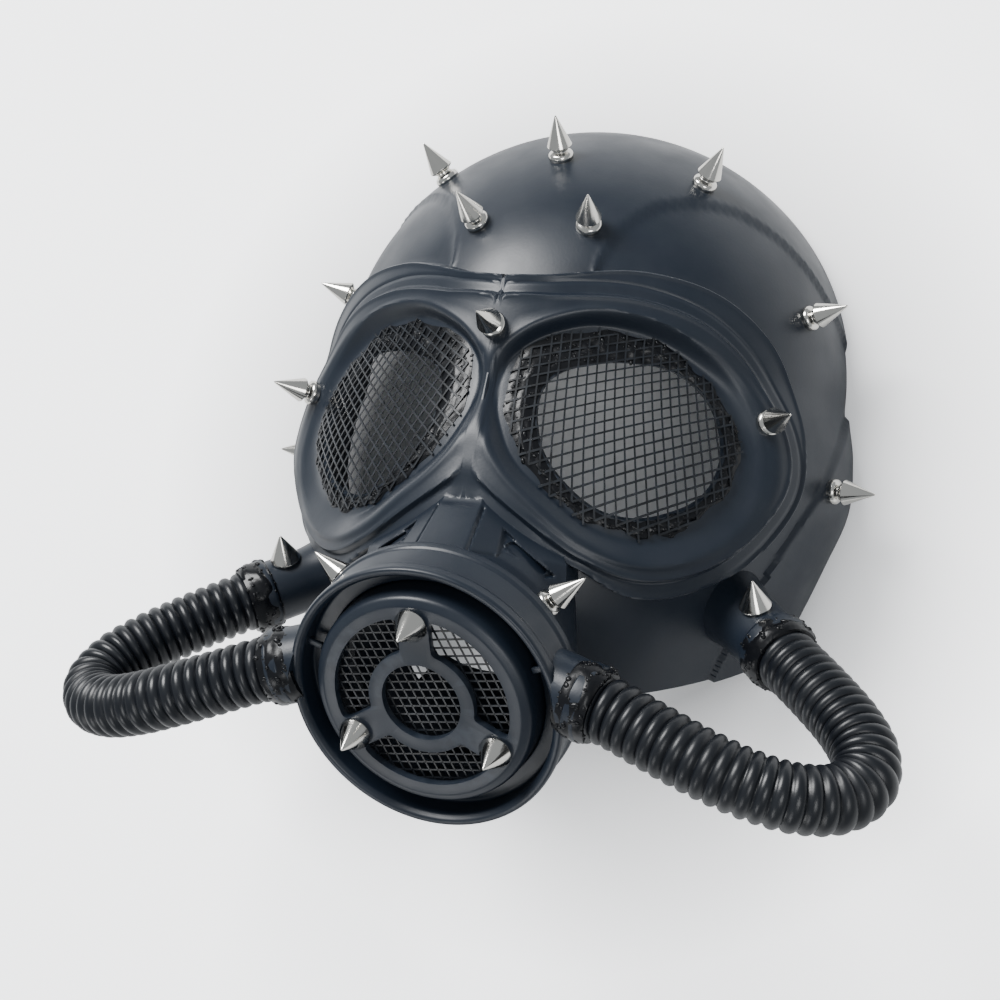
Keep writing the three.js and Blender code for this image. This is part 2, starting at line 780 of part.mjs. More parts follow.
// The sheet over an eye opening lies on the recess floor and follows its curve, from one height to another
function eyeSheet(low, high) {
  const sheetReach = (angle) => {
    const overlapping = eyeLine("opening", angle) * dome_radius + mesh_overlap;
    return Math.min(overlapping, eyeLine("floor", angle) * dome_radius - mesh_margin);
  };
  const angles = Array.from({ length: sheet_sides }, (_, i) => (2 * Math.PI * i) / sheet_sides);
  const polar = (angle, reach) => [reach * Math.cos(angle), reach * Math.sin(angle)];
  const outline = angles.map((angle) => polar(angle, sheetReach(angle)));
  const inside = (x, y) => Math.hypot(x, y) < sheetReach(Math.atan2(y, x)) - mesh_border;
  const holes = diamonds(eye_gaps, inside, Math.max(...angles.map(sheetReach)));
  const sheet = piercedSheet(outline, holes);
  const position = sheet.attributes.position;
  for (let i = 0; i < position.count; i++) {
    const across = eye_centre.across + position.getX(i) / dome_radius;
    const up = eye_centre.up + position.getY(i) / dome_radius;
    const direction = directionAt(across, up);
    const height = floorHeight(across, up) + (position.getZ(i) > mesh_thickness / 2 ? high : low);
    const point = direction.multiplyScalar(faceRadius(direction) + height);
    position.setXYZ(i, point.x, point.y, point.z);
  }
  return solid(sheet);
}

const eyeMesh = () => eyeSheet(mesh_seat, mesh_seat + mesh_thickness);

// Height of the recess floor over the face
function floorHeight(across, up) {
  return goggleLift(across, up) + bezel_step - recess_depth;
}

// Hose, its collar on the filter and its port on the cheek, on the right side
const route_start = filter_centre.clone().setX(housing_radius);
const route = hose_route.map((point) => new THREE.Vector3(...point).add(route_start));
const hose_curve = new THREE.CatmullRomCurve3(route);
const hose_end = hose_curve.getPoint(1);
const hose_start = hose_curve.getPoint(0);
const collar_axis = hose_curve.getTangent(0).normalize();
const port_axis = hose_curve.getTangent(1).normalize();

function hoseTube() {
  const outline = circle(hose_diameter / 2, hose_sides).map(([x, y]) => new THREE.Vector2(x, y));
  const options = { steps: hose_steps, extrudePath: hose_curve, bevelEnabled: false };
  return solid(new THREE.ExtrudeGeometry(new THREE.Shape(outline), options));
}

function filterCollar() {
  const radius = hose_diameter / 2 + collar_wall;
  const reach = housing_radius + clearance;
  const outer = rod(hose_start, collar_axis, radius, -collar_depth, -clearance, port_sides);
  const bore = rod(hose_start, collar_axis, port_bore, -2 * collar_depth, clearance, port_sides);
  const drum = rod(filter_centre, filter_out, reach, -housing_radius, housing_radius, round_sides);
  return outer.subtract(bore).subtract(drum);
}

function cheekPort() {
  const outer = rod(hose_end, port_axis, port_radius, clearance, port_length, port_sides);
  const bead = rod(hose_end, port_axis, port_radius + collar_wall, clearance, bead_length, port_sides);
  const bore = rod(hose_end, port_axis, port_bore, -clearance, 2 * port_length, port_sides);
  const face = filled((a, u) => relief(a, u, 0) + clearance);
  const seat = portSeat();
  const hole = rod(seat.point, seat.direction, post_radius + clearance, -port_post - clearance, clearance);
  return outer.add(bead).subtract(bore).subtract(face).subtract(hole);
}

function portSeat() {
  const direction = new THREE.Vector3(0, 1, 1);
  direction.addScaledVector(port_axis, -direction.dot(port_axis)).normalize();
  const flat = port_radius * Math.cos(Math.PI / port_sides);
  const point = hose_end.clone().addScaledVector(port_axis, port_stud_place).addScaledVector(direction, flat);
  return { point, direction };
}

// A turned stud standing on its seat, with its post going down into it
function studBody(seat, profile, post, head) {
  const { radius, height } = post_head;
  const foot = head
    ? [[post_radius, -post], [radius, -post], [radius, -post - height], [0, -post - height]]
    : [[post_radius, -post], [0, -post]];
  const points = [...profile, [post_radius, 0], ...foot].map(([r, y]) => new THREE.Vector2(r, y));
  const lathe = new THREE.LatheGeometry(points, stud_sides);
  const base = seat.point.clone().addScaledVector(seat.direction, clearance);
  return solid(placed(lathe, base, seat.direction));
}

const tall_profile = [
  [0, stud.length],
  [stud.cone_radius, stud.cone_start],
  [stud.neck_radius, stud.cone_start - stud.cone_under],
  [stud.neck_radius, stud.disc_height + stud.neck_edge],
  [stud.disc_radius, stud.disc_height - stud.disc_edge],
  [stud.disc_radius, 0],
];
const short_profile = [
  [0, short_stud.length],
  [short_stud.cone_radius, short_stud.edge],
  [short_stud.cone_radius - short_stud.foot, 0],
];

const group = new THREE.Group();

function add(name, body, material) {
  const mesh = new THREE.Mesh(geometryOf(body), material);
  mesh.name = name;
  group.add(mesh);
}

function addPair(name, body, material) {
  add(`${name}_left`, mirrored(body), material);
  add(`${name}_right`, body, material);
}

add("face_shell", faceShell(), shell_plastic);
add("filter_housing", filterHousing(), shell_plastic);
add("filter_grille", filterGrille(), shell_plastic);
add("filter_mesh", filterMesh(), black_metal);
addPair("eye_mesh", eyeMesh(), black_metal);
addPair("cheek_port", cheekPort(), shell_plastic);
addPair("filter_port", filterCollar(), shell_plastic);
addPair("hose", hoseTube(), hose_plastic);

for (const seat of [...shell_seats, ...cheek_seats]) {
  add(seat.name, studBody(seat, tall_profile, shell_wall + 2 * clearance, true), nickel);
}
for (const seat of filter_seats) {
  add(seat.name, studBody(seat, short_profile, cap_wall, false), nickel);
}
for (const { name, sign } of sides) {
  const seat = sign > 0 ? portSeat() : mirroredSeat(portSeat());
  add(`stud_port_${name}`, studBody(seat, short_profile, port_post, false), nickel);
}

// Stand the group over the middle of its own box, hoses left out
const box = new THREE.Box3();
for (const mesh of group.children) if (!mesh.name.startsWith("hose")) box.expandByObject(mesh);
group.position.y = -(box.min.y + box.max.y) / 2;

export default group;
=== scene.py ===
"""A costume mask of the gas mask style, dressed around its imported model.

Lengths are metres in the frame's own axes: X across the face, Y towards the crown, Z out of the face.
The shell's surface is worked out in the face's axes, whose middle is the middle of the dome.
"""

import math

import bmesh
import bpy
import numpy as np
from bpy.props import FloatProperty, FloatVectorProperty, IntProperty, PointerProperty
from bpy.types import Operator, Panel, PropertyGroup
from mathutils import Matrix, Vector, noise


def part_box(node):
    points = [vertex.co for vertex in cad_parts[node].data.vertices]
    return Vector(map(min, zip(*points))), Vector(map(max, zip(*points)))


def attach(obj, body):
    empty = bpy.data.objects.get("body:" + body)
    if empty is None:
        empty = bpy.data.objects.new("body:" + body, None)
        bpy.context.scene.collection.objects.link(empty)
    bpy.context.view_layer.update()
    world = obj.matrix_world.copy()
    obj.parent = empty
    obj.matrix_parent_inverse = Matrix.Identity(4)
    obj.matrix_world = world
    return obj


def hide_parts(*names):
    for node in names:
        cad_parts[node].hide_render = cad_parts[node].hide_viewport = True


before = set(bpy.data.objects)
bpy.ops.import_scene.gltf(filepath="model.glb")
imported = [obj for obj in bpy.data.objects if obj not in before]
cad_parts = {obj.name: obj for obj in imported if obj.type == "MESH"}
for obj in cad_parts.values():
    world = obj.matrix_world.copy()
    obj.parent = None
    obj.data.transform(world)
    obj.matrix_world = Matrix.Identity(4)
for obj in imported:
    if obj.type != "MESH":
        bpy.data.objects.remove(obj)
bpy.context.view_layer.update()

bl_info = {
    "name": "Studded Costume Mask",
    "version": (1, 0, 0),
    "blender": (4, 5, 0),
    "location": "View3D > Sidebar > Mask",
    "description": "Builds a studded costume mask with mesh eyes, a round filter and ribbed hoses",
    "category": "Object",
}

# Sections of the face below the brow line: shares of the dome's radius
SECTION_DROP = 0.2
FACE_SECTIONS = {
    "half_width": (1.0, 1.035, 1.04, 0.975, 0.9, 0.815, 0.72, 0.61),
    "front": (1.0, 1.03, 1.065, 1.08, 1.06, 1.0, 0.91, 0.8),
}

# Lines round an eye, every 30 degrees from its outer corner, as shares of the dome's radius
EYE_CENTRE = (0.46, -0.33)
EYE_LINES = {
    "opening": (0.29, 0.303, 0.289, 0.264, 0.28, 0.325, 0.28, 0.225, 0.203, 0.198, 0.212, 0.256),
    "floor": (0.352, 0.362, 0.352, 0.367, 0.412, 0.45, 0.37, 0.268, 0.242, 0.244, 0.264, 0.312),
    "rim": (0.412, 0.41, 0.396, 0.412, 0.45, 0.482, 0.4, 0.297, 0.27, 0.281, 0.318, 0.378),
    "bowl": (0.07, 0.055, 0.03, 0.008, 0.0, 0.0, 0.0, 0.0, 0.0, 0.01, 0.02, 0.045),
    "bezel": (0.54, 0.52, 0.496, 0.487, 0.53, 0.68, 0.5, 0.36, 0.322, 0.342, 0.385, 0.455),
    "edge": (0.64, 0.68, 0.655, 0.618, 0.63, 0.8, 0.64, 0.445, 0.368, 0.412, 0.462, 0.548),
}

# The block over the nose, as shares of the dome's radius
NOSE_SECTIONS = {
    "drop": (0.34, 0.48, 0.62, 0.79, 0.87),
    "top_half": (0.04, 0.06, 0.07, 0.09, 0.09),
    "top": (1.06, 1.12, 1.2, 1.33, 1.355),
    "foot_half": (0.1, 0.17, 0.25, 0.36, 0.37),
    "foot": (0.98, 0.98, 0.98, 0.98, 0.98),
}
NOSE_SIDE_SHARE = 0.35

# Lines on the shell, over its surface from the brow, as shares of the dome's radius
TEMPLE_SEAM = (
    (0.27, 0.2), (0.285, 0.3), (0.31, 0.4), (0.34, 0.46), (0.38, 0.525), (0.44, 0.6),
    (0.545, 0.667), (0.65, 0.708), (0.77, 0.728), (0.89, 0.715), (1.0, 0.69), (1.15, 0.63),
    (1.3, 0.53), (1.5, 0.38), (1.62, 0.3),
)
EAR_SEAM = ((1.62, -0.02), (1.5, -0.14), (1.369, -0.281), (1.255, -0.412), (1.154, -0.518), (1.0, -0.7))

# Studs on the shell: place over the surface from the brow, as shares of the dome's radius
SHELL_STUDS = {
    "brow": (0.0, 0.0),
    "crown": (0.0, 0.811),
    "forehead_inner": (0.218, 0.437),
    "forehead_outer": (0.596, 0.808),
    "temple": (1.168, 0.324),
    "goggle": (0.905, -0.205),
    "ear": (1.283, -0.445),
}
FILTER_STUDS = {"top": 90, "left": 210, "right": 330}
SIDES = {"left": -1, "right": 1}

# The right hose's centre line in the face's axes, chosen points from the filter to the cheek
HOSE_ROUTE = (
    (0.0583, -0.1305, 0.1322),
    (0.068, -0.1335, 0.1326),
    (0.082, -0.139, 0.1335),
    (0.098, -0.145, 0.1335),
    (0.114, -0.150, 0.131),
    (0.129, -0.1525, 0.126),
    (0.141, -0.151, 0.118),
    (0.147, -0.145, 0.1095),
    (0.1455, -0.1365, 0.101),
    (0.138, -0.1275, 0.0925),
    (0.127, -0.1185, 0.084),
    (0.1155, -0.1102, 0.0758),
    (0.105, -0.1032, 0.0683),
)


def length(name, default, description):
    return FloatProperty(
        name=name, description=description, default=default, min=0.0, unit="LENGTH", precision=5
    )


def share(name, default, description):
    return FloatProperty(
        name=name, description=description, default=default, min=0.0, max=1.0, subtype="FACTOR"
    )


def colour(name, default, description):
    return FloatVectorProperty(
        name=name, description=description, default=default, size=3, min=0.0, max=1.0, subtype="COLOR"
    )


class ShellSizes(PropertyGroup):
    """Sizes of the moulded face shell"""

    dome_radius: length("Dome radius", 0.1055, "Radius of the dome over the forehead")
    wall: length("Wall", 0.0026, "Thickness of the moulded wall")
    rim_drop: length("Rim drop", 0.1, "How far below the brow the shell ends")
    chin_rise: share("Chin rise", 0.36, "Slope of the shell's lower end")
    goggle_step: length("Goggle step", 0.004, "Width of the step round the goggles")
    goggle_lift: length("Goggle lift", 0.005, "Height of the goggle surrounds at the brow")
    lower_lift: length("Lower lift", 0.0045, "Extra height of the surrounds at their lower edge")
    bridge_lift: length("Bridge lift", 0.006, "Extra height of the surrounds over the nose")
    bridge_width: length("Bridge width", 0.03, "Width of the raised nose bridge")
    bezel_step: length("Bezel step", 0.0018, "Height of the second step")
    bezel_width: length("Bezel width", 0.0022, "Width of the second step")
    recess_depth: length("Recess depth", 0.0055, "Depth of the recess round an eye opening")
    bead: length("Bead", 0.0005, "Height of the fine beads along the steps")
    groove: length("Groove", 0.0005, "Depth of the fine groove inside the second step")
    panel_step: length("Panel step", 0.0011, "Height of the steps at the temple and ear panels")
    rays: IntProperty(name="Rays", description="Rays round each eye", default=330, min=60)


class MuzzleSizes(PropertyGroup):
    """Sizes of the muzzle and its filter"""

    down: length("Filter down", 0.1373, "Filter centre below the dome's middle")
    out: length("Filter out", 0.1393, "Filter centre in front of the dome's middle")
    tilt: FloatProperty(
        name="Tilt", description="Downward turn of the filter", default=math.radians(33.1), unit="ROTATION"
    )
    housing_radius: length("Housing radius", 0.0505, "Outer radius of the filter housing")
    housing_depth: length("Housing depth", 0.024, "Depth of the filter housing")
    lip: length("Lip set-back", 0.0015, "How far the housing's lip lies behind the grille")
    groove_depth: length("Groove depth", 0.012, "Depth of the groove round the cap")
    cap_radius: length("Cap radius", 0.0405, "Radius of the grille cap")
    cap_depth: length("Cap depth", 0.018, "Depth of the grille cap")
    cap_wall: length("Cap wall", 0.003, "Thickness of the grille cap")
    face_radius: length("Face radius", 0.0368, "Radius of the grille's flat face")
    ring_inner: length("Ring hole", 0.0146, "Radius of the hole in the centre ring")
    ring_outer: length("Ring radius", 0.0196, "Outer radius of the centre ring")
    kidney_reach: length("Kidney reach", 0.0325, "Outer radius of the kidney openings")
    spoke: length("Spoke", 0.0115, "Width of a spoke")
    stud_circle: length("Stud circle", 0.0304, "Radius of the circle of studs")
    neck_front: length("Neck front", 0.046, "Radius of the neck behind the housing")
    neck_back: length("Neck back", 0.036, "Radius of the neck inside the face")
    neck_lift: length("Neck lift", 0.013, "Rise of the neck towards the face")
    neck_length: length("Neck length", 0.06, "Set-back of the neck's inner end")


class HoseSizes(PropertyGroup):
    """Sizes of the hoses and their ports"""

    diameter: length("Diameter", 0.0235, "Outer diameter of a hose")
    rib_pitch: length("Rib pitch", 0.0048, "Distance from rib to rib")
    rib_depth: length("Rib depth", 0.0021, "Depth of the valleys between ribs")
    collar_wall: length("Collar wall", 0.0016, "How far a collar stands over the hose")
    port_radius: length("Port radius", 0.0124, "Radius of a cheek port")
    port_length: length("Port length", 0.044, "Length of a cheek port")
    port_stud: length("Port stud", 0.014, "Place of the stud along a cheek port")


class StudSizes(PropertyGroup):
    """Sizes of the cone studs"""

    disc_radius: length("Disc radius", 0.005, "Radius of the base disc")
    disc_height: length("Disc height", 0.0028, "Height of the base disc")
    neck_radius: length("Neck radius", 0.003, "Radius between disc and cone")
    cone_radius: length("Cone radius", 0.00485, "Radius of the cone")
    cone_start: length("Cone start", 0.0052, "Height where the cone begins")
    height: length("Height", 0.0177, "Height of a tall stud")
    short_radius: length("Short radius", 0.006, "Radius of a short stud")
    short_height: length("Short height", 0.012, "Height of a short stud")


class NettingSizes(PropertyGroup):
    """Sizes of the expanded metal and its glue"""

    side: length("Cell side", 0.0033, "Length of a strand between two knots")
    strand: length("Strand", 0.00058, "Width of a strand")
    thickness: length("Thickness", 0.0004, "Thickness of a strand")
    blob: length("Blob", 0.0008, "Radius of the largest glue blobs")
    seed: IntProperty(name="Seed", description="Seed of the scattered glue", default=7)


class FinishColours(PropertyGroup):
    """Colours of the finishes"""

    plastic: colour("Plastic", (0.0085, 0.0135, 0.0225), "Moulded shell")
    plastic_worn: colour("Worn plastic", (0.05, 0.062, 0.08), "Shell along its worn edges")
    dust: colour("Dust", (0.16, 0.17, 0.18), "Fine dust on level surfaces")
    hose: colour("Hose", (0.005, 0.0065, 0.0095), "Ribbed hose")
    netting: colour("Netting", (0.006, 0.007, 0.009), "Painted expanded metal")
    glue: colour("Glue", (0.003, 0.0035, 0.005), "Black glue")
    nickel: colour("Nickel", (0.74, 0.72, 0.67), "Polished nickel")
    floor: colour("Floor", (0.88, 0.885, 0.89), "Pale floor")


PROPERTY_GROUPS = {
    "mask_shell": ShellSizes,
    "mask_muzzle": MuzzleSizes,
    "mask_hoses": HoseSizes,
    "mask_studs": StudSizes,
    "mask_netting": NettingSizes,
    "mask_finish": FinishColours,
}


def settings(name):
    return getattr(bpy.context.scene, f"mask_{name}")


# Small mathematics


def ease(t):
    u = np.clip(t, 0.0, 1.0)
    return u * u * (3 - 2 * u)


def column(values, place, closed=False):
    """A smooth curve through a column of a table; the row before the first mirrors it"""
    values = np.asarray(values)
    last = len(values) - 1
    if closed:
        whole = np.floor(place).astype(int)
    else:
        place = np.clip(place, 0, last)
        whole = np.minimum(np.floor(place).astype(int), last - 1)

    def row(i):
        return values[i % len(values)] if closed else values[np.minimum(np.abs(i), last)]

    a, b, c, d = (row(whole + k) for k in (-1, 0, 1, 2))
    t = place - whole
    cubic = -a + 3 * b - 3 * c + d
    square = 2 * a - 5 * b + 4 * c - d
    return 0.5 * (2 * b + (c - a) * t + square * t**2 + cubic * t**3)


def eye_line(name, angle):
    return column(EYE_LINES[name], angle / math.pi * 6, closed=True)


def side_of_line(across, up, line):
    """Signed distance to a line on the shell, in shares of the radius: positive on its right"""
    places = np.stack([np.abs(across), up], -1)
    nearest = np.full(np.shape(across), 9.0)
    side = np.zeros(np.shape(across))
    for start, end in zip(line[:-1], line[1:]):
        run = np.subtract(end, start)
        along = np.clip(((places - start) @ run) / (run @ run), 0, 1)
        gap = places - (start + along[..., None] * run)
        distance = np.hypot(gap[..., 0], gap[..., 1])
        closer = distance < nearest
        side = np.where(closer, np.sign(run[1] * gap[..., 0] - run[0] * gap[..., 1]), side)
        nearest = np.where(closer, distance, nearest)
    return nearest * side


def perpendicular_axes(direction):
    """Two unit vectors square to a direction"""
    direction = Vector(direction).normalized()
    first = direction.orthogonal().normalized()
    return first, direction.cross(first)


# The face's surface


def face_shift():
    """The face's axes are moved along Y so that the dome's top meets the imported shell's"""
    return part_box("face_shell")[1].y - settings("shell").dome_radius


def in_frame(points):
    """Points of the face's axes as points of the frame"""
    return np.asarray(points) + np.array([0.0, face_shift(), 0.0])


def direction_at(across, up):
    turn = np.hypot(across, up)
    spread = np.sinc(turn / math.pi)
    return np.stack([across * spread, up * spread, np.cos(turn)], -1)


def face_radius(direction):
    radius = settings("shell").dome_radius
    low = np.full(direction.shape[:-1], 0.5 * radius)
    high = np.full(direction.shape[:-1], 2.2 * radius)
    for _ in range(30):
        middle = (low + high) / 2
        place = -middle * direction[..., 1] / (SECTION_DROP * radius)
        width = column(FACE_SECTIONS["half_width"], place) * radius
        front = column(FACE_SECTIONS["front"], place) * radius
        inside = (middle * direction[..., 0] / width) ** 2 + (middle * direction[..., 2] / front) ** 2 < 1
        low = np.where(inside, middle, low)
        high = np.where(inside, high, middle)
    return np.where(direction[..., 1] >= 0, radius, (low + high) / 2)


def on_face(across, up, height):
    direction = direction_at(across, up)
    return direction * (face_radius(direction) + height)[..., None]


def goggle_lift(across, up):
    s = settings("shell")
    bulge = s.bridge_lift * np.exp(-((across * s.dome_radius / s.bridge_width) ** 2))
    return s.goggle_lift + s.lower_lift * ease((0.05 - up) / 0.9) + bulge


MIDLINE_SOFTNESS = 0.042
BEAD_WIDTH = 0.0009
GROOVE_WIDTH = 0.0006
GROOVE_PLACE = 0.0042
PANEL_WIDTH = 0.0022


def relief(across, up, inward=0.0):
    """Height over the face; inward moves each slope so that the wall keeps its thickness"""
    s = settings("shell")
    radius = s.dome_radius
    softness = 0.0 if inward else MIDLINE_SOFTNESS
    dx = np.sqrt(across**2 + softness**2) - EYE_CENTRE[0]
    dy = up - EYE_CENTRE[1]
    angle = np.arctan2(dy, dx)
    reach = np.hypot(dx, dy) * radius
    line = {name: eye_line(name, angle) * radius for name in EYE_LINES}
    bowl = 0.0 if inward else line["bowl"]
    plateau = ease((line["edge"] - inward - reach) / s.goggle_step)
    bezel = ease((line["bezel"] - reach) / s.bezel_width)
    drop = ease((line["rim"] + bowl + inward - reach) / (line["rim"] + bowl - line["floor"]))
    height = plateau * goggle_lift(across, up) + s.bezel_step * bezel - s.recess_depth * drop
    if inward:
        return height

    def bump(place, width):
        return np.exp(-(((reach - place) / width) ** 2))

    crest = 1 - np.clip(line["bowl"] / 0.04, 0, 1)
    height += s.bead * bump(line["edge"] - s.goggle_step, BEAD_WIDTH)
    height += 0.8 * s.bead * bump(line["bezel"] - s.bezel_width, BEAD_WIDTH)
    height += s.bead * crest * bump(line["rim"] + BEAD_WIDTH, BEAD_WIDTH)
    height -= s.groove * bump(line["bezel"] + GROOVE_PLACE, GROOVE_WIDTH)
    temple = side_of_line(across, up, TEMPLE_SEAM) * radius
    ear = side_of_line(across, up, EAR_SEAM) * radius
    dome = 1 - ease((line["edge"] + 0.001 - reach) / s.goggle_step)
    height -= dome * s.panel_step * ease(temple / PANEL_WIDTH + 0.5)
    height += dome * s.panel_step * (0.5 * np.exp(-((temple / 0.0012) ** 2)))
    height += dome * 1.6 * s.panel_step * ease(-ear / PANEL_WIDTH + 0.5)
    return height


def inner_relief(across, up):
    wall = settings("shell").wall
    return relief(across, up, wall) - wall


def ray_end(angles):
    """How far the shell goes along rays from the eye's centre, and what ends it there"""
    s = settings("shell")

    def ended(reach):
        across = EYE_CENTRE[0] + reach * np.cos(angles)
        up = EYE_CENTRE[1] + reach * np.sin(angles)
        point = on_face(across, up, np.zeros_like(across))
        chin = point[..., 1] + s.chin_rise * point[..., 2] < -s.rim_drop
        rim = np.hypot(across, up) > math.pi / 2
        return np.where(across < 0, 1, np.where(rim, 2, np.where(chin, 3, 0)))

    low = np.zeros_like(angles)
    high = np.full_like(angles, math.pi)
    for _ in range(36):
        middle = (low + high) / 2
        out = ended(middle) > 0
        high = np.where(out, middle, high)
        low = np.where(out, low, middle)
    return low, ended(high)


def ray_angles():
    """Rays spread by their turn and by the length of edge that each covers, one at each corner"""
    fine = np.linspace(0, 2 * math.pi, 2401)
    reach, kind = ray_end(fine)
    across = EYE_CENTRE[0] + reach * np.cos(fine)
    up = EYE_CENTRE[1] + reach * np.sin(fine)
    points = on_face(across, up, np.zeros_like(across))
    along = np.concatenate([[0], np.cumsum(np.linalg.norm(np.diff(points, axis=0), axis=1))])
    shares = (along / along[-1] + fine / fine[-1]) / 2
    count = settings("shell").rays
    angles = np.interp(np.arange(count) / count, shares, fine)
    for i in np.flatnonzero(np.diff(kind)):
        angles[np.argmin(np.abs(angles - fine[i]))] = fine[i]
    return angles


def ring_reaches(angles, marks, counts):
    """Places along each ray: marks kept in order and inside the shell's end, with steps between"""
    end, _ = ray_end(angles)
    pinch = 0.0004 / settings("shell").dome_radius
    rows = [marks[0](angles)]
    for mark in marks[1:]:
        rows.append(np.maximum(mark(angles), rows[-1] + pinch))
    rows = [np.minimum(row, end - (len(marks) - k) * pinch) for k, row in enumerate(rows)]
    rows.append(end)
    steps = []
    for first, last, count in zip(rows[:-1], rows[1:], counts):
        steps += [first + (last - first) * i / count for i in range(count)]
    return np.stack([*steps, end], 1)


def mark(name, shift=0.0, extra=None):
    """A line round the eye, moved by a length, as a function of the angle"""
    moved = shift / settings("shell").dome_radius

    def place(angles):
        value = eye_line(name, angles) + moved
        return value + eye_line(extra, angles) if extra else value

    return place


def outer_marks():
    s = settings("shell")
    marks = [
        mark("opening"),
        mark("floor"),
        mark("rim", 0.0, "bowl"),
        mark("rim", 0.0025, "bowl"),
        mark("bezel", -s.bezel_width - 0.001),
        mark("bezel", 0.0005),
        mark("bezel", GROOVE_PLACE + 0.0015),
        mark("edge", -s.goggle_step - 0.0015),
        mark("edge", 0.0005),
    ]
    return marks, (4, 10, 4, 3, 7, 8, 4, 12, 40)


def inner_marks():
    s = settings("shell")
    marks = [
        mark("opening"),
        mark("floor", s.wall),
        mark("rim", s.wall),
        mark("edge", -s.goggle_step - s.wall),
        mark("edge", -s.wall),
    ]
    return marks, (2, 4, 2, 4, 10)


def skin(angles, marks, counts, height):
    """Points of half a skin, by ray and ring"""
    reaches = ring_reaches(angles, marks, counts)
    across = EYE_CENTRE[0] + reaches * np.cos(angles)[:, None]
    up = EYE_CENTRE[1] + reaches * np.sin(angles)[:, None]
    across = np.where(np.abs(across) < 1e-5, 0.0, across)
    return on_face(across, up, height(across, up))


def grid_faces(rays, rings, start=0, flip=False):
    """Quads of a skin whose rays close into a ring"""
    i = np.arange(rays)[:, None] * rings + np.arange(rings - 1)[None, :] + start
    j = (np.arange(rays)[:, None] + 1) % rays * rings + np.arange(rings - 1)[None, :] + start
    quads = np.stack([i, i + 1, j + 1, j], -1).reshape(-1, 4)
    return quads[:, ::-1] if flip else quads


def strip_faces(first, second, on_midline):
    """Quads between two loops of points, left out where both ends lie on the midline"""
    following = np.roll(np.arange(len(first)), -1)
    kept = ~(on_midline & on_midline[following])
    quads = np.stack([first, second, second[following], first[following]], -1)
    return quads[kept]


# Meshes


def mesh_object(name, points, faces):
    mesh = bpy.data.meshes.new(name)
    mesh.from_pydata(np.asarray(points).tolist(), [], [list(map(int, face)) for face in faces])
    mesh.update()
    item = bpy.data.objects.new(name, mesh)
    bpy.context.scene.collection.objects.link(item)
    return item


def merge_doubles(item, distance=2e-6, outward=False):
    work = bmesh.new()
    work.from_mesh(item.data)
    bmesh.ops.remove_doubles(work, verts=work.verts, dist=distance)
    bmesh.ops.dissolve_degenerate(work, edges=work.edges, dist=1e-7)
    if outward:
        bmesh.ops.recalc_face_normals(work, faces=work.faces)
    work.to_mesh(item.data)
    work.free()
    return item


def mirrored_pair(name, points, faces):
    """A closed mesh from half of it and its mirror image"""
    other = points * np.array([-1.0, 1.0, 1.0])
    both = np.concatenate([points, other])
    quads = [list(face) for face in faces] + [[k + len(points) for k in reversed(face)] for face in faces]
    return merge_doubles(mesh_object(name, in_frame(both), quads))


def bake_modifiers(item):
    """Put the modified mesh in place of the item's own and take the modifiers off"""
    graph = bpy.context.evaluated_depsgraph_get()
    fresh = bpy.data.meshes.new_from_object(item.evaluated_get(graph))
    old = item.data
    item.modifiers.clear()
    item.data = fresh
    if isinstance(old, bpy.types.Mesh):
        bpy.data.meshes.remove(old)
    return item


def discard(*items):
    for item in items:
        bpy.data.objects.remove(item)


def combine(item, tool, operation, keep_tool=False):
    """Join, cut or intersect one closed mesh with another"""
    before = len(item.data.polygons)
    modifier = item.modifiers.new(operation.title(), "BOOLEAN")
    modifier.operation = operation
    modifier.solver = "MANIFOLD"
    modifier.object = tool
    bake_modifiers(item)
    if len(item.data.polygons) in (0, before):
        raise RuntimeError(f"{item.name}: {operation.lower()} with {tool.name} changed nothing")
    if not keep_tool:
        discard(tool)
    return item


def smooth_by_angle(item, degrees=35.0):
    item.data.shade_smooth()
    item.data.set_sharp_from_angle(angle=math.radians(degrees))
    return item


def bevelled(item, width, segments=3, degrees=40.0):
    modifier = item.modifiers.new("Bevel", "BEVEL")
    modifier.width = width
    modifier.segments = segments
    modifier.limit_method = "ANGLE"
    modifier.angle_limit = math.radians(degrees)
    return bake_modifiers(item)


def loft(name, rings, caps=True):
    """A closed mesh through rings with the same number of points"""
    rings = np.asarray(rings)
    count, size = rings.shape[:2]
    faces = []
    for k in range(count - 1):
        for i in range(size):
            j = (i + 1) % size
            faces.append([k * size + i, k * size + j, (k + 1) * size + j, (k + 1) * size + i])
    if caps:
        faces.append(list(reversed(range(size))))
        faces.append(list(range((count - 1) * size, count * size)))
    return merge_doubles(mesh_object(name, rings.reshape(-1, 3), faces), outward=True)


def turned(name, profile, centre, axis, sides=96, closed=False):
    """A turned body: profile of radius and place along the axis, from one end on the axis to the other"""
    first, second = perpendicular_axes(axis)
    axis = Vector(axis).normalized()
    rings = []
    for radius, along in profile:
        radius = max(radius, 1e-6)
        turn = np.linspace(0, 2 * math.pi, sides, endpoint=False)
        ring = (
            np.array(centre)
            + np.array(axis) * along
            + radius * (np.cos(turn)[:, None] * np.array(first) + np.sin(turn)[:, None] * np.array(second))
        )
        rings.append(ring)
    if closed:
        rings.append(rings[0])
    return loft(name, rings, caps=not closed)


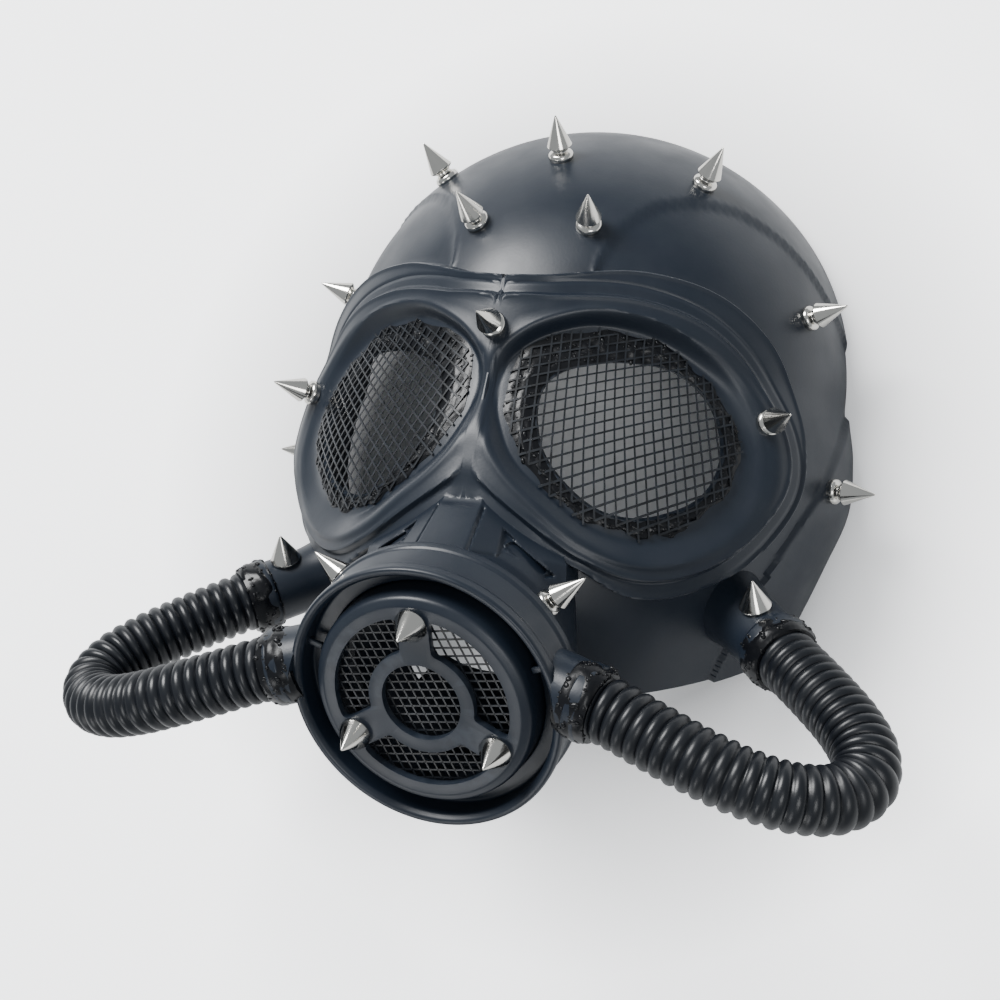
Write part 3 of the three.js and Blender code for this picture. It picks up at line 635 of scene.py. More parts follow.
def rounded_profile(corners, steps=5):
    """Round the corners of a profile: each is radius, place and the length cut off at the corner"""
    points = []
    for k, (x, y, cut) in enumerate(corners):
        here = Vector((x, y))
        if cut == 0 or k in (0, len(corners) - 1):
            points.append((x, y))
            continue
        before = Vector(corners[k - 1][:2])
        after = Vector(corners[k + 1][:2])
        start = here + (before - here).normalized() * min(cut, (before - here).length * 0.49)
        end = here + (after - here).normalized() * min(cut, (after - here).length * 0.49)
        for i in range(steps + 1):
            t = i / steps
            points.append(tuple((1 - t) ** 2 * start + 2 * t * (1 - t) * here + t**2 * end))
    return points


def rounded_outline(corners, steps=6):
    """Round the corners of a closed flat outline in the same way"""
    points = []
    count = len(corners)
    for k, (x, y, cut) in enumerate(corners):
        here = Vector((x, y))
        if cut == 0:
            points.append((x, y))
            continue
        before = Vector(corners[k - 1][:2])
        after = Vector(corners[(k + 1) % count][:2])
        start = here + (before - here).normalized() * cut
        end = here + (after - here).normalized() * cut
        for i in range(steps + 1):
            t = i / steps
            points.append(tuple((1 - t) ** 2 * start + 2 * t * (1 - t) * here + t**2 * end))
    return points


# Materials


class Wiring:
    """Short ways to add and join the nodes of a tree"""

    def __init__(self, tree):
        self.tree = tree

    def node(self, kind, inputs=None, **values):
        item = self.tree.nodes.new(kind)
        for key, value in values.items():
            setattr(item, key, value)
        for key, value in (inputs or {}).items():
            socket = item.inputs[key]
            if isinstance(value, bpy.types.NodeSocket):
                self.tree.links.new(value, socket)
            else:
                socket.default_value = value
        return item

    def maths(self, operation, a, b=0.0):
        return self.node("ShaderNodeMath", {0: a, 1: b}, operation=operation).outputs[0]

    def spread(self, value, low, high, to_low=0.0, to_high=1.0):
        inputs = {"Value": value, "From Min": low, "From Max": high, "To Min": to_low, "To Max": to_high}
        return self.node("ShaderNodeMapRange", inputs).outputs["Result"]

    def mix(self, factor, a, b):
        item = self.node("ShaderNodeMix", data_type="RGBA")
        for socket, value in zip((item.inputs[0], item.inputs[6], item.inputs[7]), (factor, a, b)):
            if isinstance(value, bpy.types.NodeSocket):
                self.tree.links.new(value, socket)
            else:
                socket.default_value = value
        return item.outputs[2]


def shader_group(name, inputs, outputs):
    """A new shader group with its named sockets, as wiring, its input node and its output node"""
    group = bpy.data.node_groups.new(name, "ShaderNodeTree")
    for label, kind, default in inputs:
        socket = group.interface.new_socket(label, in_out="INPUT", socket_type=f"NodeSocket{kind}")
        if default is not None:
            socket.default_value = default
    for label, kind in outputs:
        group.interface.new_socket(label, in_out="OUTPUT", socket_type=f"NodeSocket{kind}")
    wiring = Wiring(group)
    return wiring, wiring.node("NodeGroupInput"), wiring.node("NodeGroupOutput")


def edge_wear_group():
    """Mask of worn edges, broken up by fine noise"""
    inputs = [("Coordinates", "Vector", None), ("Start", "Float", 0.53), ("End", "Float", 0.6), ("Scale", "Float", 260.0)]
    wiring, source, sink = shader_group("Edge wear", inputs, [("Mask", "Float")])
    sharpness = wiring.node("ShaderNodeNewGeometry").outputs["Pointiness"]
    specks = wiring.node(
        "ShaderNodeTexNoise",
        {"Vector": source.outputs["Coordinates"], "Scale": source.outputs["Scale"], "Detail": 4.0},
    ).outputs["Fac"]
    edge = wiring.spread(sharpness, source.outputs["Start"], source.outputs["End"])
    worn = wiring.maths("MULTIPLY", edge, wiring.spread(specks, 0.35, 0.65))
    wiring.tree.links.new(worn, sink.inputs["Mask"])
    return wiring.tree


def grain_group():
    """Fine moulded grain and slow unevenness, as a height and a change of roughness"""
    inputs = [("Coordinates", "Vector", None), ("Fine scale", "Float", 900.0), ("Slow scale", "Float", 45.0)]
    outputs = [("Height", "Float"), ("Roughness change", "Float")]
    wiring, source, sink = shader_group("Moulded grain", inputs, outputs)
    place = source.outputs["Coordinates"]
    fine = wiring.node(
        "ShaderNodeTexNoise", {"Vector": place, "Scale": source.outputs["Fine scale"], "Detail": 3.0}
    ).outputs["Fac"]
    slow = wiring.node(
        "ShaderNodeTexNoise", {"Vector": place, "Scale": source.outputs["Slow scale"], "Detail": 5.0}
    ).outputs["Fac"]
    height = wiring.maths("ADD", wiring.maths("MULTIPLY", fine, 0.35), wiring.maths("MULTIPLY", slow, 0.65))
    change = wiring.spread(slow, 0.3, 0.7, -0.06, 0.08)
    wiring.tree.links.new(height, sink.inputs["Height"])
    wiring.tree.links.new(change, sink.inputs["Roughness change"])
    return wiring.tree


def dust_group():
    """Mask of fine dust: specks and a thin film on surfaces that face up"""
    inputs = [("Coordinates", "Vector", None), ("Speck scale", "Float", 620.0), ("Amount", "Float", 0.5)]
    wiring, source, sink = shader_group("Fine dust", inputs, [("Mask", "Float")])
    place = source.outputs["Coordinates"]
    specks = wiring.node(
        "ShaderNodeTexVoronoi", {"Vector": place, "Scale": source.outputs["Speck scale"]}
    ).outputs["Distance"]
    patches = wiring.node("ShaderNodeTexNoise", {"Vector": place, "Scale": 60.0, "Detail": 4.0}).outputs["Fac"]
    level = wiring.node("ShaderNodeSeparateXYZ", {"Vector": wiring.node("ShaderNodeNewGeometry").outputs["Normal"]})
    film = wiring.maths("MULTIPLY", wiring.spread(level.outputs["Z"], 0.2, 1.0), wiring.spread(patches, 0.4, 0.75))
    dots = wiring.maths("MULTIPLY", wiring.spread(specks, 0.12, 0.05), wiring.spread(patches, 0.55, 0.7))
    both = wiring.maths("ADD", wiring.maths("MULTIPLY", film, 0.35), dots)
    mask = wiring.maths("MULTIPLY", both, source.outputs["Amount"])
    wiring.tree.links.new(mask, sink.inputs["Mask"])
    return wiring.tree


def shared_group(name):
    makers = {"Edge wear": edge_wear_group, "Moulded grain": grain_group, "Fine dust": dust_group}
    return bpy.data.node_groups.get(name) or makers[name]()


def finish(name, base, roughness, worn=None, wear=0.0, dust=0.0, bump=0.0, bump_depth=0.0004, scale=1.0, **fixed):
    """A material with grain, worn edges and dust from the shared groups"""
    if name in bpy.data.materials:
        return bpy.data.materials[name]
    material = bpy.data.materials.new(name)
    material.use_nodes = True
    material.node_tree.nodes.clear()
    wiring = Wiring(material.node_tree)
    place = wiring.node("ShaderNodeTexCoord").outputs["Object"]

    def group(title, **inputs):
        item = wiring.node("ShaderNodeGroup", node_tree=shared_group(title))
        wiring.tree.links.new(place, item.inputs["Coordinates"])
        for label, value in inputs.items():
            item.inputs[label.replace("_", " ").capitalize()].default_value = value
        return item

    grain = group("Moulded grain", fine_scale=900.0 * scale, slow_scale=45.0 * scale)
    rough = wiring.maths("ADD", grain.outputs["Roughness change"], roughness)
    shade = (*base, 1.0)
    if wear:
        mask = wiring.maths("MULTIPLY", group("Edge wear").outputs["Mask"], wear)
        shade = wiring.mix(mask, shade, (*worn, 1.0))
    if dust:
        specks = group("Fine dust", amount=dust).outputs["Mask"]
        shade = wiring.mix(specks, shade, (*settings("finish").dust, 1.0))
        rough = wiring.maths("ADD", rough, wiring.maths("MULTIPLY", specks, 0.3))
    shader = wiring.node("ShaderNodeBsdfPrincipled", {"Base Color": shade, "Roughness": rough})
    for label, value in fixed.items():
        shader.inputs[label.replace("_", " ")].default_value = value
    if bump:
        relief_node = wiring.node(
            "ShaderNodeBump", {"Height": grain.outputs["Height"], "Strength": bump, "Distance": bump_depth}
        )
        wiring.tree.links.new(relief_node.outputs["Normal"], shader.inputs["Normal"])
    output = wiring.node("ShaderNodeOutputMaterial")
    wiring.tree.links.new(shader.outputs["BSDF"], output.inputs["Surface"])
    return material


def shell_plastic():
    c = settings("finish")
    return finish("Shell plastic", c.plastic, 0.37, c.plastic_worn, 0.3, 0.12, 0.16, Specular_IOR_Level=0.42)


def hose_plastic():
    c = settings("finish")
    return finish("Hose plastic", c.hose, 0.34, c.plastic_worn, 0.15, 0.1, 0.2, Specular_IOR_Level=0.42)


def netting_paint():
    c = settings("finish")
    return finish("Netting paint", c.netting, 0.36, c.plastic_worn, 0.2, 0.05, 0.3, Specular_IOR_Level=0.4)


def black_glue():
    c = settings("finish")
    return finish("Black glue", c.glue, 0.3, bump=0.6, scale=0.6, Specular_IOR_Level=0.3)


def polished_nickel():
    c = settings("finish")
    return finish("Polished nickel", c.nickel, 0.13, c.plastic, 0.0, 0.0, 0.08, Metallic=1.0)


def complete(item, material, nodes=(), smooth=35.0):
    """Give a finished piece its material, its body and the nodes it stands for"""
    if smooth:
        smooth_by_angle(item, smooth)
    item.data.materials.clear()
    item.data.materials.append(material)
    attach(item, "root")
    if nodes:
        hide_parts(*nodes)
    return item


# Geometry Nodes


def node_tree(name, inputs):
    """A geometry tree with its named inputs, as wiring, its input node and its output node"""
    tree = bpy.data.node_groups.new(name, "GeometryNodeTree")
    tree.interface.new_socket("Geometry", in_out="INPUT", socket_type="NodeSocketGeometry")
    for label, kind in inputs:
        tree.interface.new_socket(label, in_out="INPUT", socket_type=f"NodeSocket{kind}")
    tree.interface.new_socket("Geometry", in_out="OUTPUT", socket_type="NodeSocketGeometry")
    wiring = Wiring(tree)
    return wiring, wiring.node("NodeGroupInput"), wiring.node("NodeGroupOutput")


def finish_tree(wiring, source, sink, geometry):
    """Realize what the tree made, shade it and give it its material"""
    real = wiring.node("GeometryNodeRealizeInstances", {"Geometry": geometry}).outputs[0]
    smooth = wiring.node("GeometryNodeSetShadeSmooth", {"Geometry": real}).outputs[0]
    painted = wiring.node("GeometryNodeSetMaterial", {"Geometry": smooth, "Material": source.outputs["Material"]})
    wiring.tree.links.new(painted.outputs[0], sink.inputs["Geometry"])
    return wiring.tree


def run_tree(item, tree, values):
    """Run a geometry tree on an item and keep its result as a plain mesh object"""
    modifier = item.modifiers.new(tree.name, "NODES")
    modifier.node_group = tree
    sockets = {s.name: s.identifier for s in tree.interface.items_tree if s.in_out == "INPUT"}
    for label, value in values.items():
        modifier[sockets[label]] = value
    graph = bpy.context.evaluated_depsgraph_get()
    mesh = bpy.data.meshes.new_from_object(item.evaluated_get(graph))
    result = bpy.data.objects.new(item.name, mesh)
    bpy.context.scene.collection.objects.link(result)
    name = item.name
    discard(item)
    result.name = name
    if not len(mesh.polygons):
        raise RuntimeError(f"{name}: the tree {tree.name} made nothing")
    return result


def ribbed_hose_tree():
    """A ribbed tube along a curve: wide round crests and narrow valleys"""
    existing = bpy.data.node_groups.get("Ribbed hose")
    if existing:
        return existing
    inputs = [("Radius", "Float"), ("Rib depth", "Float"), ("Rib pitch", "Float"), ("Sides", "Int"), ("Material", "Material")]
    wiring, source, sink = node_tree("Ribbed hose", inputs)
    pitch = source.outputs["Rib pitch"]
    total = wiring.node("GeometryNodeCurveLength", {"Curve": source.outputs["Geometry"]}).outputs[0]
    count = wiring.maths("MULTIPLY", wiring.maths("DIVIDE", total, pitch), 12.0)
    path = wiring.node("GeometryNodeResampleCurve", {"Curve": source.outputs["Geometry"], "Count": count}).outputs[0]
    along = wiring.node("GeometryNodeSplineParameter").outputs["Length"]
    turn = wiring.maths("MULTIPLY", wiring.maths("DIVIDE", along, pitch), math.pi)
    wave = wiring.maths("POWER", wiring.maths("ABSOLUTE", wiring.maths("SINE", turn)), 0.5)
    valley = wiring.maths("MULTIPLY", wiring.maths("SUBTRACT", 1.0, wave), source.outputs["Rib depth"])
    radius = wiring.maths("SUBTRACT", source.outputs["Radius"], valley)
    circle = wiring.node("GeometryNodeCurvePrimitiveCircle", {"Resolution": source.outputs["Sides"], "Radius": 1.0})
    tube = wiring.node(
        "GeometryNodeCurveToMesh",
        {"Curve": path, "Profile Curve": circle.outputs["Curve"], "Scale": radius, "Fill Caps": True},
    ).outputs[0]
    return finish_tree(wiring, source, sink, tube)


def expanded_metal_tree():
    """A lattice of flat strands in two directions"""
    existing = bpy.data.node_groups.get("Expanded metal")
    if existing:
        return existing
    inputs = [
        ("Cells", "Int"),
        ("Side", "Float"),
        ("First angle", "Float"),
        ("Second angle", "Float"),
        ("Strand width", "Float"),
        ("Strand thickness", "Float"),
        ("Material", "Material"),
    ]
    wiring, source, sink = node_tree("Expanded metal", inputs)
    cells = source.outputs["Cells"]
    size = {"Size X": cells, "Size Y": cells, "Vertices X": wiring.maths("ADD", cells, 1.0)}
    grid = wiring.node("GeometryNodeMeshGrid", {**size, "Vertices Y": wiring.maths("ADD", cells, 1.0)}).outputs[0]
    place = wiring.node("ShaderNodeSeparateXYZ", {"Vector": wiring.node("GeometryNodeInputPosition").outputs[0]})

    def sheared(function):
        first = wiring.maths(function, source.outputs["First angle"])
        second = wiring.maths(function, source.outputs["Second angle"])
        a = wiring.maths("MULTIPLY", place.outputs["X"], first)
        b = wiring.maths("MULTIPLY", place.outputs["Y"], second)
        return wiring.maths("MULTIPLY", wiring.maths("ADD", a, b), source.outputs["Side"])

    position = wiring.node("ShaderNodeCombineXYZ", {"X": sheared("COSINE"), "Y": sheared("SINE")}).outputs[0]
    lattice = wiring.node("GeometryNodeSetPosition", {"Geometry": grid, "Position": position}).outputs[0]
    strands = wiring.node("GeometryNodeMeshToCurve", {"Mesh": lattice}).outputs[0]
    flat = wiring.node("GeometryNodeSetCurveNormal", {"Curve": strands}, mode="Z_UP").outputs[0]
    fine = wiring.node("GeometryNodeResampleCurve", {"Curve": flat, "Count": 4}).outputs[0]
    profile = wiring.node(
        "GeometryNodeCurvePrimitiveQuadrilateral",
        {"Width": source.outputs["Strand width"], "Height": source.outputs["Strand thickness"]},
    ).outputs[0]
    bars = wiring.node("GeometryNodeCurveToMesh", {"Curve": fine, "Profile Curve": profile, "Fill Caps": True})
    return finish_tree(wiring, source, sink, bars.outputs[0])


def glue_blob_tree():
    """Uneven round blobs scattered over a surface"""
    existing = bpy.data.node_groups.get("Glue blobs")
    if existing:
        return existing
    inputs = [("Density", "Float"), ("Smallest", "Float"), ("Largest", "Float"), ("Seed", "Int"), ("Material", "Material")]
    wiring, source, sink = node_tree("Glue blobs", inputs)
    seed = source.outputs["Seed"]
    points = wiring.node(
        "GeometryNodeDistributePointsOnFaces",
        {"Mesh": source.outputs["Geometry"], "Density": source.outputs["Density"], "Seed": seed},
    )
    blob = wiring.node("GeometryNodeMeshIcoSphere", {"Radius": 1.0, "Subdivisions": 2}).outputs["Mesh"]
    size = wiring.node("FunctionNodeRandomValue", data_type="FLOAT")
    stretch = wiring.node("FunctionNodeRandomValue", data_type="FLOAT_VECTOR")
    for socket, value in zip(size.inputs[2:4], (source.outputs["Smallest"], source.outputs["Largest"])):
        wiring.tree.links.new(value, socket)
    wiring.tree.links.new(seed, size.inputs["Seed"])
    wiring.tree.links.new(seed, stretch.inputs["Seed"])
    stretch.inputs[0].default_value = (0.6, 0.6, 0.35)
    stretch.inputs[1].default_value = (1.7, 1.0, 0.7)
    scale = wiring.node(
        "ShaderNodeVectorMath", {0: stretch.outputs[0], "Scale": size.outputs[1]}, operation="SCALE"
    ).outputs[0]
    spin = wiring.node("FunctionNodeRandomValue", data_type="FLOAT")
    spin.inputs[2].default_value = 0.0
    spin.inputs[3].default_value = 6.28
    wiring.tree.links.new(seed, spin.inputs["Seed"])
    angle = wiring.node("ShaderNodeCombineXYZ", {"Z": spin.outputs[1]}).outputs[0]
    turn = wiring.node("FunctionNodeEulerToRotation", {0: angle}).outputs[0]
    rotation = wiring.node("FunctionNodeRotateRotation", {0: points.outputs["Rotation"], 1: turn}, rotation_space="LOCAL")
    blobs = wiring.node(
        "GeometryNodeInstanceOnPoints",
        {"Points": points.outputs["Points"], "Instance": blob, "Rotation": rotation.outputs[0], "Scale": scale},
    ).outputs[0]
    return finish_tree(wiring, source, sink, blobs)


# Places of the muzzle, the hoses and the studs, in the face's axes


def filter_axes():
    m = settings("muzzle")
    outward = np.array([0.0, -math.sin(m.tilt), math.cos(m.tilt)])
    upward = np.array([0.0, math.cos(m.tilt), math.sin(m.tilt)])
    return np.array([0.0, -m.down, m.out]), outward, upward


def filter_point(across, up, back):
    centre, outward, upward = filter_axes()
    return centre + np.array([1.0, 0.0, 0.0]) * across + upward * up - outward * back


def hose_path(sign, count):
    """Points along the hose's smooth centre line, by centripetal spline"""
    points = np.array(HOSE_ROUTE) * np.array([sign, 1.0, 1.0])
    first = 2 * points[0] - points[1]
    last = 2 * points[-1] - points[-2]
    held = np.concatenate([[first], points, [last]])
    path = []
    for place in np.linspace(0, len(points) - 1, count):
        k = min(int(place), len(points) - 2)
        p = held[k : k + 4]
        gaps = np.linalg.norm(np.diff(p, axis=0), axis=1) ** 0.5
        t1 = (p[1] - p[0]) / gaps[0] - (p[2] - p[0]) / (gaps[0] + gaps[1]) + (p[2] - p[1]) / gaps[1]
        t2 = (p[2] - p[1]) / gaps[1] - (p[3] - p[1]) / (gaps[1] + gaps[2]) + (p[3] - p[2]) / gaps[2]
        t1, t2 = t1 * gaps[1], t2 * gaps[1]
        t = place - k
        cubic = 2 * p[1] - 2 * p[2] + t1 + t2
        square = -3 * p[1] + 3 * p[2] - 2 * t1 - t2
        path.append(p[1] + t1 * t + square * t**2 + cubic * t**3)
    return np.array(path)


def shell_seat(across, up):
    """A place on the shell with its outward direction"""
    step = 0.03

    def at(a, u):
        a, u = np.array(float(a)), np.array(float(u))
        return on_face(a, u, relief(a, u))

    slope = np.cross(at(across + step, up) - at(across - step, up), at(across, up + step) - at(across, up - step))
    return at(across, up), slope / np.linalg.norm(slope)


CHEEK_STUD_ANGLE = math.radians(36)
CHEEK_STUD_BACK = 0.03


def cheek_seat():
    m = settings("muzzle")
    radius = m.neck_front - 0.00066
    _, outward, upward = filter_axes()
    point = filter_point(radius * math.cos(CHEEK_STUD_ANGLE), radius * math.sin(CHEEK_STUD_ANGLE), CHEEK_STUD_BACK)
    direction = np.array([math.cos(CHEEK_STUD_ANGLE), 0, 0]) + upward * math.sin(CHEEK_STUD_ANGLE) - outward * 0.11
    return point, direction / np.linalg.norm(direction)


def port_axis():
    path = hose_path(1, 400)
    axis = path[-1] - path[-2]
    return path[-1], axis / np.linalg.norm(axis)


def port_seat():
    s = settings("hoses")
    end, axis = port_axis()
    direction = np.array([0.0, 1.0, 1.0])
    direction -= axis * (direction @ axis)
    direction /= np.linalg.norm(direction)
    return end + axis * s.port_stud + direction * s.port_radius * 0.95, direction


# Pieces


class MASK_OT_stage(Operator):
    """Floor, lights, surroundings and camera"""

    bl_idname = "mask.stage"
    bl_label = "Stage"

    camera_place = (0.2686, -0.1429, 0.7712)
    camera_right = (0.9278, 0.1276, -0.3505)
    camera_up = (-0.0782, 0.9852, 0.1516)
    camera_view = (-0.3647, 0.1133, -0.9242)
    lights = (
        ("Key light", (-0.75, 1.0, 1.35), 0.9, 52.0),
        ("Front light", (0.9, -0.5, 1.5), 0.8, 9.0),
        ("Low light", (-0.5, -1.3, 0.8), 0.6, 4.0),
    )

    def execute(self, context):
        scene = context.scene
        self.add_camera(scene)
        for name, place, size, power in self.lights:
            self.add_light(scene, name, place, size, power)
        self.add_surroundings(scene)
        self.add_floor()
        return {"FINISHED"}

    def add_camera(self, scene):
        data = bpy.data.cameras.new("Camera")
        data.sensor_width = 36.0
        data.lens = 72.0
        data.clip_start = 0.01
        data.clip_end = 50.0
        camera = bpy.data.objects.new("Camera", data)
        scene.collection.objects.link(camera)
        back = -Vector(self.camera_view)
        turn = Matrix((self.camera_right, self.camera_up, back)).transposed()
        camera.matrix_world = Matrix.Translation(in_frame(self.camera_place)) @ turn.to_4x4()
        scene.camera = camera

    def add_light(self, scene, name, place, size, power):
        data = bpy.data.lights.new(name, "AREA")
        data.shape = "DISK"
        data.size = size
        data.energy = power
        item = bpy.data.objects.new(name, data)
        item.location = place
        item.rotation_euler = (-Vector(place)).to_track_quat("-Z", "Y").to_euler()
        scene.collection.objects.link(item)

    def add_surroundings(self, scene):
        world = bpy.data.worlds.new("Surroundings")
        world.use_nodes = True
        background = world.node_tree.nodes["Background"]
        background.inputs["Color"].default_value = (0.9, 0.95, 1.0, 1.0)
        background.inputs["Strength"].default_value = 0.42
        scene.world = world

    def add_floor(self):
        half = 4.0
        corners = [(-half, -half, -0.0002), (half, -half, -0.0002), (half, half, -0.0002), (-half, half, -0.0002)]
        floor = mesh_object("Floor", corners, [(0, 1, 2, 3)])
        floor.data.materials.append(self.floor_paint())

    @staticmethod
    def floor_paint():
        """White paper that glows a little towards the camera alone, as an overexposed ground does"""
        paint = finish("Floor paint", settings("finish").floor, 0.6, scale=0.2)
        wiring = Wiring(paint.node_tree)
        shader = next(node for node in paint.node_tree.nodes if node.type == "BSDF_PRINCIPLED")
        seen = wiring.node("ShaderNodeLightPath").outputs["Is Camera Ray"]
        place = wiring.node("ShaderNodeNewGeometry").outputs["Position"]
        distance = wiring.node("ShaderNodeVectorMath", {0: place}, operation="LENGTH").outputs["Value"]
        # Painted light: the glow is none within 0.1 m of the frame's origin and full beyond 0.2 m, so only the floor
        # under and round the mask keeps its shadows and stays darker
        outside = wiring.spread(distance, 0.1, 0.2)
        glow = wiring.maths("MULTIPLY", wiring.maths("MULTIPLY", seen, outside), 2.2)
        paint.node_tree.links.new(glow, shader.inputs["Emission Strength"])
        shader.inputs["Emission Color"].default_value = (0.97, 0.98, 1.0, 1.0)
        return paint


class MASK_OT_hoses(Operator):
    """Ribbed hoses from the filter to the cheeks"""

    bl_idname = "mask.hoses"
    bl_label = "Ribbed hoses"

    def execute(self, context):
        for side, sign in SIDES.items():
            self.add_hose(context, side, sign)
        return {"FINISHED"}

    def add_hose(self, context, side, sign):
        s = settings("hoses")
        points = in_frame(hose_path(sign, 160))
        data = bpy.data.curves.new(f"ribbed_hose_{side}", "CURVE")
        data.dimensions = "3D"
        spline = data.splines.new("POLY")
        spline.points.add(len(points) - 1)
        for target, point in zip(spline.points, points):
            target.co = (*point, 1.0)
        item = bpy.data.objects.new(f"ribbed_hose_{side}", data)
        context.scene.collection.objects.link(item)
        values = {
            "Radius": s.diameter / 2,
            "Rib depth": s.rib_depth,
            "Rib pitch": s.rib_pitch,
            "Sides": 40,
            "Material": hose_plastic(),
        }
        hose = run_tree(item, ribbed_hose_tree(), values)
        complete(hose, hose_plastic(), [f"hose_{side}"], smooth=60.0)


class MASK_OT_face_shell(Operator):
    """Moulded face shell with goggle surrounds, nose block and muzzle neck"""

    bl_idname = "mask.face_shell"
    bl_label = "Face shell"

    panel_half = 0.0085
    pocket = ((0.016, -0.0728, 0.0), (0.0185, -0.087, 0.0), (0.0265, -0.0915, 0.0), (0.0363, -0.0882, 0.0))
    slots = (((0.0205, -0.0795), (0.0310, -0.0866)), ((0.0200, -0.0838), (0.0272, -0.0888)))

    def execute(self, context):
        angles = ray_angles()
        shell = self.wall(angles)
        blocks = combine(self.nose(0.0), self.neck(0.0, 0.0), "UNION")
        blocks = combine(blocks, self.solid_face(angles), "DIFFERENCE")
        shell = combine(shell, blocks, "UNION")
        shell = combine(shell, self.nose(settings("shell").wall), "DIFFERENCE")
        shell = combine(shell, self.neck(settings("shell").wall, 0.016), "DIFFERENCE")
        shell.name = "moulded_shell"
        merge_doubles(shell)
        complete(shell, shell_plastic(), ["face_shell"], smooth=32.0)
        return {"FINISHED"}

    def wall(self, angles):
        marks, counts = outer_marks()
        outer = skin(angles, marks, counts, relief)
        inner_places, inner_counts = inner_marks()
        inner = skin(angles, inner_places, inner_counts, inner_relief)
        rays, outer_rings, _ = outer.shape
        inner_rings = inner.shape[1]
        points = np.concatenate([outer.reshape(-1, 3), inner.reshape(-1, 3)])
        first = rays * outer_rings
        outer_start = np.arange(rays) * outer_rings
        inner_start = np.arange(rays) * inner_rings + first
        outer_end = outer_start + outer_rings - 1
        inner_end = inner_start + inner_rings - 1
        nowhere = np.zeros(rays, bool)
        on_midline = np.abs(points[outer_end, 0]) < 1e-7
        faces = [
            *grid_faces(rays, outer_rings),
            *grid_faces(rays, inner_rings, first, flip=True),
            *strip_faces(inner_start, outer_start, nowhere),
            *strip_faces(outer_end, inner_end, on_midline),
        ]
        item = mirrored_pair("shell_wall", points, faces)
        self.relax_midline(item)
        return item

    @staticmethod
    def relax_midline(item):
        """Smooth the strip where the two halves meet"""
        work = bmesh.new()
        work.from_mesh(item.data)
        below_brow = face_shift() - 0.006
        strip = [vert for vert in work.verts if abs(vert.co.x) < 0.005 and vert.co.y < below_brow]
        for _ in range(12):
            bmesh.ops.smooth_vert(work, verts=strip, factor=0.5, use_axis_y=True, use_axis_z=True)
        work.to_mesh(item.data)
        work.free()

    def solid_face(self, angles):
        """Everything inside the middle of the wall, as a tool"""
        marks, counts = outer_marks()
        wall = settings("shell").wall
        grid = skin(angles, marks, counts, lambda a, u: relief(a, u) - wall / 2)
        rays, rings, _ = grid.shape
        eye = on_face(np.array(EYE_CENTRE[0]), np.array(EYE_CENTRE[1]), np.array(0.0))
        points = np.concatenate([grid.reshape(-1, 3), [eye, [0.0, 0.0, 0.0]]])
        start = np.arange(rays) * rings
        end = start + rings - 1
        following = np.roll(np.arange(rays), -1)
        on_midline = np.abs(points[end, 0]) < 1e-7
        kept = ~(on_midline & on_midline[following])
        eye_faces = np.stack([start, start[following], np.full(rays, rays * rings)], -1)
        middle = np.full(rays, rays * rings + 1)
        end_faces = np.stack([end, middle, end[following]], -1)[kept]
        return mirrored_pair("solid_face", points, [*grid_faces(rays, rings), *eye_faces, *end_faces])

    def nose(self, inset):
        """Block over the nose as a height field, with its panel, grooves and vent pockets"""
        radius = settings("shell").dome_radius
        drops = np.linspace(NOSE_SECTIONS["drop"][0], NOSE_SECTIONS["drop"][-1], 110)
        row = {name: np.interp(drops, NOSE_SECTIONS["drop"], NOSE_SECTIONS[name]) * radius for name in NOSE_SECTIONS}
        across = np.linspace(-1, 1, 181)
        rings = []
        for k, y in enumerate(-row["drop"]):
            foot_half = row["foot_half"][k] - inset
            half = max(row["top_half"][k] - inset * 0.5, 0.001)
            top = row["top"][k] - inset
            foot = row["foot"][k]
            side = foot + (row["top"][k] - foot) * NOSE_SIDE_SHARE - inset
            x = across * foot_half
            slope = (np.abs(x) - half) / (foot_half - half)
            z = top - (top - side) * np.clip(slope, 0, 1)
            if inset == 0:
                z = z + self.nose_detail(x, y, row["top_half"][k])
            floor = foot - (0.016 if inset else 0.0)
            bottom = [(-foot_half, y, floor), (foot_half, y, floor)]
            rings.append([*reversed(bottom), *zip(x, np.full_like(x, y), z)])
        return loft("nose_block", in_frame(rings))

    def nose_detail(self, x, y, half):
        """Small heights on the nose block at one section"""
        panel = self.panel_half + 0.0015 * (-y - 0.066) / 0.02
        if -y < 0.066:
            fade = 0.0
        else:
            fade = float(ease(np.array((-y - 0.066) / 0.002)))
        groove = np.exp(-(((np.abs(x) - panel) / 0.0005) ** 2)) * 0.0011
        crown = 0.0012 * np.clip(1 - (x / panel) ** 2, 0, 1)
        detail = fade * (crown - groove)
        places = np.stack([np.abs(x), np.full_like(x, y)], -1)
        inside = self.inside_outline(places, self.pocket)
        detail = detail - 0.0022 * ease(inside / 0.0012)
        for start, end in self.slots:
            run = np.subtract(end, start)
            t = np.clip(((places - start) @ run) / (run @ run), 0, 1)
            gap = np.linalg.norm(places - (start + t[:, None] * run), axis=1)
            detail = detail + 0.0012 * np.exp(-(((gap - 0.0016) / 0.0005) ** 2))
            detail = detail - 0.0014 * ease((0.0014 - gap) / 0.0006)
        return detail

    @staticmethod
    def inside_outline(places, outline):
        """How far places lie inside a convex outline that turns anticlockwise; negative outside"""
        depth = np.full(len(places), 1.0)
        for start, end in zip(outline, outline[1:] + outline[:1]):
            run = np.subtract(end[:2], start[:2])
            gap = places - np.array(start[:2])
            depth = np.minimum(depth, (run[0] * gap[:, 1] - run[1] * gap[:, 0]) / np.linalg.norm(run))
        return depth

